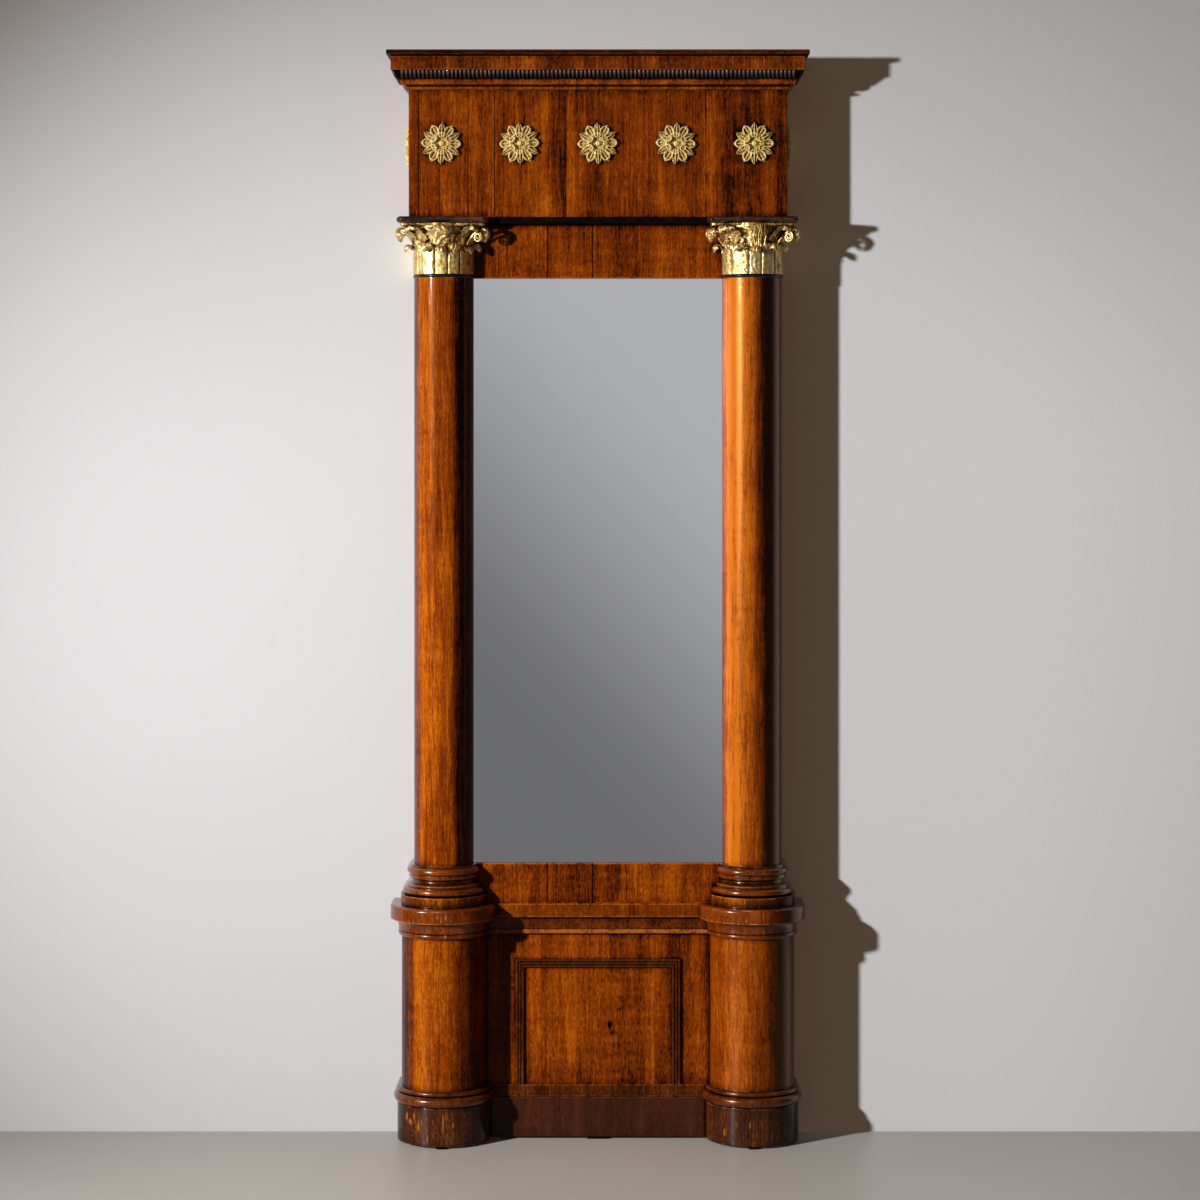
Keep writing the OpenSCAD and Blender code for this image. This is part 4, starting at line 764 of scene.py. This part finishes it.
def acanthus(angle, half, midrib, lobes=3, lean=0.0, droop=0.55, notch=0.42, flutes=0, rows=54, columns=25):
    """One leaf. Its midrib [out, height] follows a smooth curve, and its width swells and narrows
    with a notch between two lobes and smaller ones on each lobe. Low down its edges lie back
    against the bell, and where it leans out they hang by the square of the distance from the
    midrib. A rib and slanting furrows are raised on its face, and its back is a few mm behind."""
    curve = through(midrib, rows)
    t = np.linspace(0, 1, rows)[:, None]
    s = np.linspace(-1, 1, columns)[None]
    swell = np.interp(t, [0, 0.25, 0.55, 0.8, 0.93, 1], [0.70, 0.95, 1.0, 0.88, 0.62, 0.20])
    ragged = (1 - notch * (1 - np.abs(np.sin(np.pi * lobes * t))) ** 2) * (1 - 0.13 * np.abs(
        np.sin(np.pi * 3 * lobes * t)))
    aside = half * swell * ragged * s
    rib = 1.8 * np.exp(-(s / 0.12) ** 2)
    furrow = 1.9 * np.cos(2 * np.pi * (lobes * (t + 0.30 * (1 - np.abs(s))) - 0.5)) * np.abs(s) ** 0.5
    if flutes:
        furrow = 1.9 * np.cos(np.pi * flutes * s) * np.ones_like(t)
    relief = (rib + furrow) * np.clip(t * 5, 0, 1) * np.clip((1.02 - t) * 6, 0, 1)
    hang = droop * np.abs(aside) * np.abs(s) * np.clip(1.8 * t - 0.7, 0, 1)
    fall = aside ** 2 / (2 * BELL) * (1 - 0.6 * t) - hang
    normal = outward(curve)[:, None]
    front = curve[:, None] + normal * (relief - fall)[..., None]
    rear = front - normal * (3.2 - 1.6 * s ** 2)[..., None]
    return shell(round_bell(np.concatenate([front, rear[:, ::-1]], 1),
                            np.concatenate([aside, aside[:, ::-1]], 1), np.radians(angle + lean * t ** 1.5)))


def scroll(angle, centre=(38.5, 84.0), radius=12.3, eye=2.6, turns=1.8, steps=96):
    """A corner scroll: a channelled ribbon that rises from the bell and rolls up round an eye. Its
    radius shrinks evenly with the turn."""
    spin = np.linspace(0, turns * 2 * math.pi, steps)
    shrink = radius - (radius - eye) * spin / spin[-1]
    roll = np.stack([centre[0] + shrink * np.sin(spin), centre[1] + shrink * np.cos(spin)], 1)
    path = np.concatenate([through([[2, 42], [6, 60], [15, 77], [27, 90], [38.5, 96.3]], 26)[:-1], roll])
    width = np.interp(np.arange(len(path)), [0, 25, len(path) - 1], [8.0, 6.6, 4.2])[:, None]
    channel = np.array([[-1, -1.4], [-1, 1.6], [-0.74, 1.7], [-0.6, 0.6], [0, 0.2], [0.6, 0.6], [0.74, 1.7],
                        [1, 1.6], [1, -1.4]])
    face = path[:, None] - outward(path)[:, None] * channel[None, :, 1:]
    return shell(round_bell(face, width * channel[:, 0], math.radians(angle)))


def bell(grooves):
    """The bell with its upright panels: between two grooves the face stands out by a few mm and
    drops sharply at both, low flutes run up it, and above the panels it flares to the lip."""
    degrees = np.linspace(-90, 90, 301)[:, None]
    z = np.concatenate([np.linspace(0, 62, 52), np.linspace(64, 107, 22), [108, CAPITAL_HEIGHT]])[None]
    edges = np.array([-92.0, *grooves, 92.0])
    number = np.clip(np.searchsorted(edges, degrees) - 1, 0, len(edges) - 2)
    half = (edges[number + 1] - edges[number]) / 2
    panel = 3.4 * (1 - np.abs((degrees - (edges[number] + half)) / half) ** 9)
    lumps = 0.35 * np.sin(degrees * 0.53 + 3.1 * np.sin(z * 0.11)) * np.sin(z * 0.23 + 0.2 * degrees)
    out = 1.5 + 7 * (z / CAPITAL_HEIGHT) ** 4 + panel * np.clip((64 - z) / 7, 0, 1) + lumps
    radial = BELL + np.where(z > 107.5, 9.0, out)
    turn = np.radians(degrees)
    return shell(np.stack([radial * np.sin(turn), radial * np.cos(turn), z + 0 * turn], -1), loops=False)


def joined(parts):
    """One list of points and one of faces from several closed shells."""
    count = np.cumsum([0] + [len(points) for points, faces in parts])
    return np.concatenate([points for points, faces in parts]), [
        [corner + shift for corner in face] for shift, (points, faces) in zip(count, parts) for face in faces]


TIP = [[1.5, 32], [3, 46], [7, 59], [13, 66], [20, 66], [24, 59], [23, 51]]
SMALL_TIP = [[1.5, 30], [2.5, 43], [5, 54], [10, 60], [16, 58], [18, 51], [16, 47]]
UPPER = [[2, 54], [4, 74], [9, 93], [17, 106], [26, 109], [33, 103], [34, 93], [30, 86]]
CORNER = [[2, 44], [6, 63], [14, 83], [27, 98], [41, 104], [51, 100], [55, 90], [51, 79], [45, 74]]
SPRAY = [[2, 48], [6, 68], [14, 89], [25, 104], [36, 108], [43, 101], [42, 93]]

gilt = material("worn_gilding")
home = gilt.where["Object"]
drift = gilt.put("VectorMath", {
    0: gilt.put("TexNoise", {"Vector": home, "Scale": 140.0, "Detail": 2.0}).outputs["Color"],
    1: (0.004, 0.004, 0.004)}, operation="MULTIPLY").outputs[0]
bent = gilt.put("VectorMath", {0: home, 1: drift}, operation="ADD").outputs[0]
crazing = gilt.put("TexVoronoi", {"Vector": bent, "Scale": 260.0}, feature="DISTANCE_TO_EDGE").outputs["Distance"]
patchy = gilt.noise(home, (38, 38, 30), 4.0, 0.62)
lumps = gilt.noise(home, (150, 150, 110), 5.0, 0.68)
tooled = gilt.noise(home, (55, 55, 40), 2.0)
cracked = gilt.times(gilt.slope(crazing, 0.01, 0.09, 1.0, 0.0), gilt.slope(patchy, 0.48, 0.62))
# Dirt and painted shade: the gilding darkens where ambient occlusion finds a hollow
hollow_dirt_and_shade = gilt.put("AmbientOcclusion", {"Distance": 0.014}, samples=6).outputs["AO"]
tone = gilt.scaled(cracked, -0.28, gilt.swung(patchy, -1.1, gilt.swung(lumps, 1.9, 0.72)))
tone = gilt.scaled(gilt.less(1.0, hollow_dirt_and_shade), -0.95, tone)
height = gilt.scaled(cracked, -0.3, gilt.scaled(tooled, 2.2, lumps))
gilding = gilt.done({
    "Base Color": gilt.ramp(tone, [(0.02, (0.030, 0.009, 0.002)), (0.26, (0.28, 0.120, 0.020)),
                                   (0.50, (0.80, 0.48, 0.12)), (0.85, (1.0, 0.79, 0.39))]),
    "Metallic": 0.72, "Roughness": gilt.scaled(patchy, 0.35, 0.17), "Normal": gilt.bump(height, 0.8, 0.0018)})

left_leaves = [
    acanthus(-77, 15, TIP), acanthus(-34, 25, TIP, 4, lean=4), acanthus(-3, 14, SMALL_TIP),
    acanthus(22, 16, TIP, lean=-5), acanthus(45, 15, SMALL_TIP, lean=6), acanthus(69, 15, TIP),
    acanthus(-41, 25, SPRAY, 4, lean=-11), acanthus(-15, 29, UPPER, 4, lean=20, notch=0.5),
    acanthus(37, 22, SPRAY, 4, lean=10, notch=0.5), acanthus(-66, 25, CORNER, 4, lean=8, droop=0.95, notch=0.5),
    acanthus(61, 13, CORNER, 4, lean=-3), acanthus(80, 17, UPPER)]
right_leaves = [
    acanthus(-77, 16, TIP), acanthus(-30, 25, TIP), acanthus(3, 14, SMALL_TIP),
    acanthus(31, 17, TIP, lean=5), acanthus(57, 16, TIP), acanthus(-34, 28, SPRAY, 5, lean=-10, notch=0.5),
    acanthus(14, 21, UPPER, 1, flutes=7, notch=0.1, lean=-2), acanthus(42, 22, SPRAY, 4, lean=8, notch=0.5),
    acanthus(-62, 25, CORNER, 5, lean=3, droop=0.95, notch=0.5), acanthus(61, 14, CORNER, 4, lean=-2),
    acanthus(78, 17, UPPER)]
plate_section = eased([[0, 2100.5], [6, 2100.5], [8.5, 2103], [8.5, CAPITAL_TOP], [0, CAPITAL_TOP]], 0.8,
                      closed=False)
for (side, word), grooves, leaves in zip(SIDES, ((-55, -15, 10, 34, 61), (-47, -8, 16, 45, 55)),
                                         (left_leaves, right_leaves)):
    points, faces = joined([bell(grooves)] + leaves + [scroll(52.6)])
    inner, outer = sorted([side * (COLUMN_X + 50), side * (COLUMN_X + 71)])
    for piece in (solid(f"capital_{word}_carved", points + [side * COLUMN_X, AXIS, CAPITAL_FOOT], faces, sharp=50),
                  plank(f"capital_{word}_return", [inner, 0, CAPITAL_FOOT], [outer, AXIS, CAPITAL_TOP], along=1),
                  carried(f"capital_{word}_plate", plate_section, slab_edge(side, 88, 62, 8), loops=False)):
        fitted(piece, gilding, "gilt_wood", f"capital_{word}")

# ---- Lower and upper rail, the glass and what holds it ----
# Two veneered pine rails tenoned between the stiles, rebated like them for the glass. The glass is
# silvered, faintly uneven old plate, held from behind by pine fillets and a pine backboard.
RAIL_HALF, GLASS_FRONT = 298.5, 75
rail_wood = polished_wood(
    "rail_mahogany", DEEP, BROWN, ORANGE, streak=30, mottle=1.1, leaf=0.103, leaf_shift=0.012,
    seams=(-0.117, -0.013), wear=1.8, shade=[((-0.065, 0.014, 0.59), (0.062, 1.0, 0.25), -0.12)])
for name, edge, sight, rebate in (("lower_rail", CAP_TOP, 637, 625), ("upper_rail", CAPITAL_TOP, 1983, 1995)):
    section = eased([[50, edge], [85, edge], [85, sight], [GLASS_FRONT, sight], [GLASS_FRONT, rebate],
                     [50, rebate]], 1.0)
    fitted(carried(f"{name}_veneered", section, straight(RAIL_HALF)), rail_wood, "mahogany", name)

glass = material("silvered_glass")
wave = glass.noise(glass.where["Object"], (2.2, 2.2, 1.6), 1.0)
refinished(glass.done({"Base Color": (0.97, 0.975, 0.98, 1), "Metallic": 1.0, "Roughness": 0.02,
                       "Normal": glass.bump(wave, 0.04, 0.002)}), "mirror_glass")
pine_upright, pine_level = [polished_wood(
    f"pine_{word}", (0.16, 0.085, 0.035), (0.40, 0.25, 0.115), (0.58, 0.40, 0.21), along=along, streak=34,
    contrast=0.8, mottle=0.4, rough=0.62, coat=0.0, gloss=0.25, grime_and_shade=0.7, cracks=0.3)
    for word, along in (("upright", "Z"), ("level", "X"))]
refinished(pine_upright, "glass_backboard", "glass_fillets")
refinished(pine_level, "base_top_board", "base_backboard")

# ---- Frieze box ----
# A pine box under the cornice. Its front and ends are veneered in upright leaves of figured
# mahogany, with fine dark seams between them, and its bottom board shows a black front edge.
FRIEZE_HALF, FRIEZE_FRONT, FRIEZE_TOP = 433.6, 121, 2412
frieze_wood = polished_wood(
    "frieze_mahogany", DEEP, BROWN, ORANGE, streak=24, contrast=1.2, mottle=0.9, leaf=0.1445,
    leaf_shift=0.0722, seams=(-0.411, -0.298, -0.237, 0.247),
    shade=patches(1.0, (-0.423, -0.022, 2.27, 0.012, 0.3, -0.08), (-0.22, -0.022, 2.27, 0.22, 0.3, -0.03),
                  (-0.010, -0.022, 2.17, 0.027, 0.15, -0.13), (0.014, -0.022, 2.345, 0.05, 0.04, -0.07),
                  (0.34, -0.022, 2.25, 0.22, 0.30, -0.07), (0.250, -0.022, 2.25, 0.012, 0.2, 0.10),
                  (-0.20, -0.022, 2.17, 0.08, 0.07, 0.04), (0.337, -0.022, 2.385, 0.030, 0.05, 0.13),
                  (0.306, -0.022, 2.262, 0.030, 0.05, 0.12), (0.225, -0.022, 2.34, 0.05, 0.04, 0.06),
                  (0.16, -0.022, 2.16, 0.05, 0.04, 0.07)))
for name, low, high in (("frieze_front", [-FRIEZE_HALF, 99], [FRIEZE_HALF, FRIEZE_FRONT]),
                        ("frieze_side_left", [-FRIEZE_HALF, 0], [-415.6, 99]),
                        ("frieze_side_right", [415.6, 0], [FRIEZE_HALF, 99])):
    fitted(plank(f"{name}_veneered", low + [ABACUS_TOP], high + [FRIEZE_TOP], 0.8), frieze_wood, "mahogany", name)
refinished(black_polish("soffit_black", (0.0025, 0.0013, 0.0010), (0.022, 0.007, 0.0025), 0.7, 0.0),
           "frieze_soffit")

# ---- Inside the frieze box: backboard, glue blocks, hanging rail, wall plates and screws ----
# Plain pine, glued and nailed. Two forged iron plates with a keyhole each are let into the back of
# the hanging rail and held by slotted screws. They hang the mirror on two wall hooks.
refinished(pine_level, "frieze_backboard", "hanging_rail")
refinished(pine_upright, "frieze_corner_blocks")
iron = material("forged_iron")
scale_marks = iron.noise(iron.where["Object"], 180, 4.0, 0.65)
rust = iron.noise(iron.where["Object"], 60, 5.0, 0.7)
refinished(iron.done({
    "Base Color": iron.ramp(rust, [(0.35, (0.10, 0.095, 0.09)), (0.56, (0.16, 0.15, 0.145)),
                                   (0.66, (0.17, 0.07, 0.03))]),
    "Metallic": 0.85, "Roughness": iron.scaled(rust, 0.5, 0.25),
    "Normal": iron.bump(scale_marks, 0.4, 0.0006)}), "wall_plates", "wall_plate_screws")

# ---- Rosettes: stamped and chased brass, gilt ----
# Six round petals with raised rims lie over six pointed ones. A ring of cupped petals stands
# round a deep hollow with a boss; dirt and painted shade darken the hollows to a reddish brown,
# and light painted glints sit on the raised lumps. Each is pinned at its own angle, slightly turned.
ROSETTE_Z, ROSETTE_PITCH, ROSETTE_END_DEPTH = 2290, 179.0, 58


def rosette(turned_by, rings=64, around=288, radius=48.0):
    """A rosette's face in polar rows: its height is the greatest of the petals' heights at a place.
    A round petal is a dished ellipse with a rim and ribs, a pointed one is a roof-like ridge, and
    the boss is half a ball. Its back is flat."""
    theta = np.linspace(0, 2 * math.pi, around, endpoint=False)[None]
    pair = math.pi / 3
    near_round = (theta + pair / 2) % pair - pair / 2
    near_point = theta % pair - pair / 2
    a, b, centre = 0.275, 0.235, 0.665
    k = np.cos(near_round) ** 2 / a ** 2 + np.sin(near_round) ** 2 / b ** 2
    m = centre * np.cos(near_round) / a ** 2
    round_edge = (m + np.sqrt(np.clip(m ** 2 - k * (centre ** 2 / a ** 2 - 1), 0, None))) / k
    round_edge = round_edge + 0.05 * np.clip(1 - np.abs(near_round) / 0.11, 0, 1)
    point_edge = 1 - 1.05 * np.abs(near_point) ** 1.05
    edge = np.maximum(np.where(np.abs(near_round) < 0.34, round_edge, 0), np.maximum(point_edge, 0.78))
    share = np.concatenate([np.linspace(0, 0.9, rings - 8, endpoint=False), np.linspace(0.9, 1, 8)])[:, None]
    rho = share * edge
    u, v = rho * np.cos(near_round), rho * np.sin(near_round)
    e = np.sqrt(((u - centre) / a) ** 2 + (v / b) ** 2)
    ribs = 2.2 * np.cos(v / b * 3.0 * math.pi) * np.clip(1 - e ** 4, 0, 1)
    petal = 4.8 + 4.4 * np.exp(-((e - 0.82) / 0.15) ** 2) + ribs + 4.0 * (centre - u)
    petal *= np.clip((1.03 - e) * 14, 0, 1)
    cup_e = np.sqrt(((rho * np.cos(near_point) - 0.40) / 0.145) ** 2 + (rho * np.sin(near_point) / 0.175) ** 2)
    u, v = rho * np.cos(near_point), rho * np.sin(near_point)
    wide = 0.36 * np.clip(1.03 - u, 0, 1) ** 0.6
    pointed = (4.2 + 3.0 * np.clip(1 - np.abs(v) / wide, 0, 1) + 3.0 * (1 - u)
               + 1.9 * np.cos(v / wide * 3.0 * math.pi)) * np.clip((1.04 - np.abs(v) / wide) * 8, 0, 1)
    cup = (9.6 + 2.6 * np.exp(-((cup_e - 0.75) / 0.22) ** 2) - 1.3 * np.exp(-(cup_e / 0.4) ** 2)
           - 14 * (u - 0.36)) * np.clip((1.05 - cup_e) * 9, 0, 1)
    ground = 2.4 + 2.6 * (1 - rho)
    well = 4.2 + 0.7 * np.cos(12 * theta) * np.clip(rho / 0.1 - 1, 0, 1)
    boss = 5.0 + 6.6 * np.sqrt(np.clip(1 - (rho / 0.135) ** 2, 0, 1)) - 1.6 * np.exp(-(rho / 0.03) ** 2)
    z = np.maximum.reduce([petal, pointed, cup, ground])
    z = np.where(rho < 0.30, z * np.clip((rho - 0.245) / 0.05, 0, 1), z)
    z = np.maximum(z, np.where(rho < 0.30, well, 0))
    z = np.minimum(np.where(rho < 0.135, np.maximum(boss, z), z), 12.9)
    z[-1] = np.minimum(z[-1], 5.0)
    turn = theta + math.radians(turned_by)
    face = np.stack([radius * rho * np.cos(turn), radius * rho * np.sin(turn), z], -1)
    place = np.concatenate([face, face[-1:] * [1, 1, 0], face[-1:] * 0])
    return place.reshape(-1, 3), quads(len(place), around, wrap=True)


brass = material("gilt_brass_petals")
home = brass.where["Object"]
lumps = brass.noise(home, 230, 4.0, 0.65)
patchy = brass.noise(home, 45, 3.0, 0.6)
# Dirt and painted shade in the hollows, and painted glints where the lumps swing the tone near white
hollow_dirt_and_shade = brass.put("AmbientOcclusion", {"Distance": 0.007}, samples=6).outputs["AO"]
tone = brass.scaled(brass.less(1.0, hollow_dirt_and_shade), -2.3, brass.swung(patchy, 0.5, brass.swung(lumps, 3.2, 1.36)))
gilt_brass = brass.done({
    "Base Color": brass.ramp(tone, [(0.0, (0.06, 0.012, 0.001)), (0.26, (0.42, 0.12, 0.003)),
                                    (0.46, (1.0, 0.48, 0.025)), (0.74, (1.0, 0.68, 0.09)),
                                    (1.0, (1.0, 0.93, 0.50))]),
    "Specular IOR Level": 1.0, "Specular Tint": (1.0, 0.70, 0.22, 1), "Normal": brass.bump(lumps, 1.0, 0.0020),
    "Roughness": brass.scaled(patchy, 0.3, 0.12)})
for number, turned_by in enumerate((-2, 2, 2, -3, 0)):
    points, faces = rosette(turned_by)
    points = points[:, [0, 2, 1]] + [(number - 2) * ROSETTE_PITCH, FRIEZE_FRONT, ROSETTE_Z]
    fitted(solid(f"rosette_{number + 1}_chased", points, faces, sharp=60), gilt_brass, "gilt_brass",
           f"rosette_{number + 1}")
for side, word in SIDES:
    points, faces = rosette(4 * side)
    points = points[:, [2, 0, 1]] * [side, -1, 1] + [side * FRIEZE_HALF, ROSETTE_END_DEPTH, ROSETTE_Z]
    fitted(solid(f"rosette_side_{word}_chased", points, faces, sharp=60), gilt_brass, "gilt_brass",
           f"rosette_side_{word}")

# ---- Cornice ----
# Mouldings glued round the top of the frieze box and mitred at the front corners: bed moulding,
# ebonised strip with turned beads, veneered fascia, and a dark stained slab that closes the top.
BED_TOP, STRIP_TOP, FASCIA_TOP, CORNICE_TOP = 2436, 2455, 2486, 2500
STRIP_FOOT_OUT, STRIP_TOP_OUT, CORNICE_BACK = 23, 35, -18
left_end = np.array([[-FRIEZE_HALF, 0, 0, -1, 0, 0], [-FRIEZE_HALF, FRIEZE_FRONT / 2, 0, -1, 0, 0],
                     [-FRIEZE_HALF, FRIEZE_FRONT, 0, -1, 1, 0], [-FRIEZE_HALF / 2, FRIEZE_FRONT, 0, 0, 1, 0]])
round_the_frieze = np.concatenate([left_end, [[0, FRIEZE_FRONT, 0, 0, 1, 0]],
                                   left_end[::-1] * [-1, 1, 1, -1, 1, 1]])


def ovolo(start, end):
    """A rounded quarter, level at its start and upright at its end."""
    return arc((start[0], end[1]), (end[0] - start[0], end[1] - start[1]), -90, 0)


ovolo_wood = polished_wood(
    "ovolo_mahogany", (0.02, 0.004, 0.0008), (0.40, 0.068, 0.0012), (0.70, 0.17, 0.005), streak=40, leaf=0.19,
    leaf_shift=0.05, coat=0.3, grime_and_shade=2.0)
bed_section = eased([[CORNICE_BACK, FRIEZE_TOP]] + ovolo([3, FRIEZE_TOP], [9.3, 2419]) + [[4, 2419], [4, 2423]]
                    + ovolo([10.6, 2423], [20, BED_TOP]) + [[CORNICE_BACK, BED_TOP]], 0.7)
fitted(carried("cornice_bed_moulded", bed_section, round_the_frieze), ovolo_wood, "mahogany",
       "cornice_bed_moulding")
bead_black = black_polish("bead_black", (0.0025, 0.0015, 0.0013), (0.014, 0.005, 0.003), 0.7, 0.0)
strip_section = eased([[CORNICE_BACK, BED_TOP], [STRIP_FOOT_OUT, BED_TOP], [STRIP_TOP_OUT, STRIP_TOP],
                       [CORNICE_BACK, STRIP_TOP]], 0.5)
fitted(carried("cornice_bead_ground", strip_section, round_the_frieze), bead_black, "ebonised_wood",
       "cornice_bead_strip")


def bead_rows(front_beads=95, side_beads=15, pitch=9.5, radius=3.5, length=18.5, lift=1.5, sink=1.0):
    """Upright beads along the sloping front and both ends of their strip. Each is a pill of eight
    sides and six bands, tipped by the sine and cosine of the slope, and copied to all its places.
    The values given with them mark each bead's upper end for a painted highlight."""
    along = np.array([0, 0.05, 0.18, 0.5, 0.82, 0.95, 1.0])
    thick = radius * np.array([0, 0.66, 0.96, 1, 0.96, 0.66, 0])[:, None]
    turn = np.linspace(0, 2 * math.pi, 8, endpoint=False)
    slope = math.atan2(STRIP_TOP_OUT - STRIP_FOOT_OUT, STRIP_TOP - BED_TOP)
    x, out, up = thick * np.cos(turn), sink + thick * np.sin(turn), lift + along[:, None] * length / math.cos(
        slope) + 0 * turn
    out, up = out * math.cos(slope) + up * math.sin(slope), up * math.cos(slope) - out * math.sin(slope)
    x, out, up = x.ravel(), STRIP_FOOT_OUT + out.ravel(), BED_TOP + up.ravel()
    front_x = ((np.arange(front_beads) - (front_beads - 1) / 2) * pitch)[:, None]
    side_y = ((np.arange(side_beads) + 0.5) * pitch)[:, None]
    rows = [(front_x + x, FRIEZE_FRONT + out, up)]
    rows += [(side * (FRIEZE_HALF + out), side_y - x, up) for side, word in SIDES]
    points = np.concatenate([np.stack(np.broadcast_arrays(*row), -1).reshape(-1, 3) for row in rows])
    count = len(points) // len(x)
    faces = quads(7, 8, wrap=True)[None] + (np.arange(count) * len(x))[:, None, None]
    # The last values mark each bead's upper end for a painted highlight
    return points, faces.reshape(-1, 4), np.tile(np.repeat(np.clip(along * 2.6 - 1.1, 0, 1), 8), count)


# Painted highlight: the light purple-grey at each bead's top stands for the glint on it
bead_polish = black_polish("bead_polish", (0.004, 0.0025, 0.0025), (0.30, 0.19, 0.18), 0.32, 0.8, even=True)
fitted(solid("cornice_beads_turned", *bead_rows(), sharp=70), bead_polish, "ebonised_wood", "cornice_beads")
fascia_wood = polished_wood(
    "fascia_mahogany", DEEP, (0.23, 0.037, 0.0011), (0.52, 0.118, 0.0036), mottle=1.2, leaf=0.17,
    leaf_shift=0.03, coat=0.2)
fascia_section = eased([[CORNICE_BACK, STRIP_TOP], [38.7, STRIP_TOP], [38.7, FASCIA_TOP],
                        [CORNICE_BACK, FASCIA_TOP]], 0.8)
fitted(carried("cornice_fascia_veneered", fascia_section, round_the_frieze), fascia_wood, "mahogany",
       "cornice_fascia")
slab_wood = polished_wood(
    "slab_mahogany", (0.014, 0.0036, 0.0012), (0.050, 0.0110, 0.0028), (0.13, 0.032, 0.007), along="X",
    streak=40, coat=0.06, wear=1.3)
slab_section = eased([[CORNICE_BACK, FASCIA_TOP], [38.7, FASCIA_TOP], [48.4, 2490], [48.4, CORNICE_TOP],
                      [CORNICE_BACK, CORNICE_TOP]], 1.2, closed=False)
fitted(carried("cornice_slab_stained", slab_section, round_the_frieze, loops=False), slab_wood,
       "dark_mahogany", "cornice_slab")

# ---- The lamp's light thrown back by the glass onto the right column ----
# The glass mirrors the lamp, so a second spot stands at the lamp's mirror image. It lights the
# right shaft alone, and the rails and shafts round the glass cut it off as they would the real one.
thrown = hard_lamp("lamp_in_glass", (lamp_place[0], 2 * (WALL_PLANE - GLASS_FRONT * MM) - lamp_place[1],
                                     lamp_place[2]), (lamp_turn[0], 0, math.pi - lamp_turn[2]))
thrown.visible_glossy = False
for role, names in (("receiver", ["column_right_polished"]),
                    ("blocker", ["upper_rail_veneered", "lower_rail_veneered", "column_left_polished",
                                 "column_right_polished"])):
    pieces = bpy.data.collections.new(f"glass_light_{role}")
    for name in names:
        pieces.objects.link(bpy.data.objects[name])
    setattr(thrown.light_linking, f"{role}_collection", pieces)
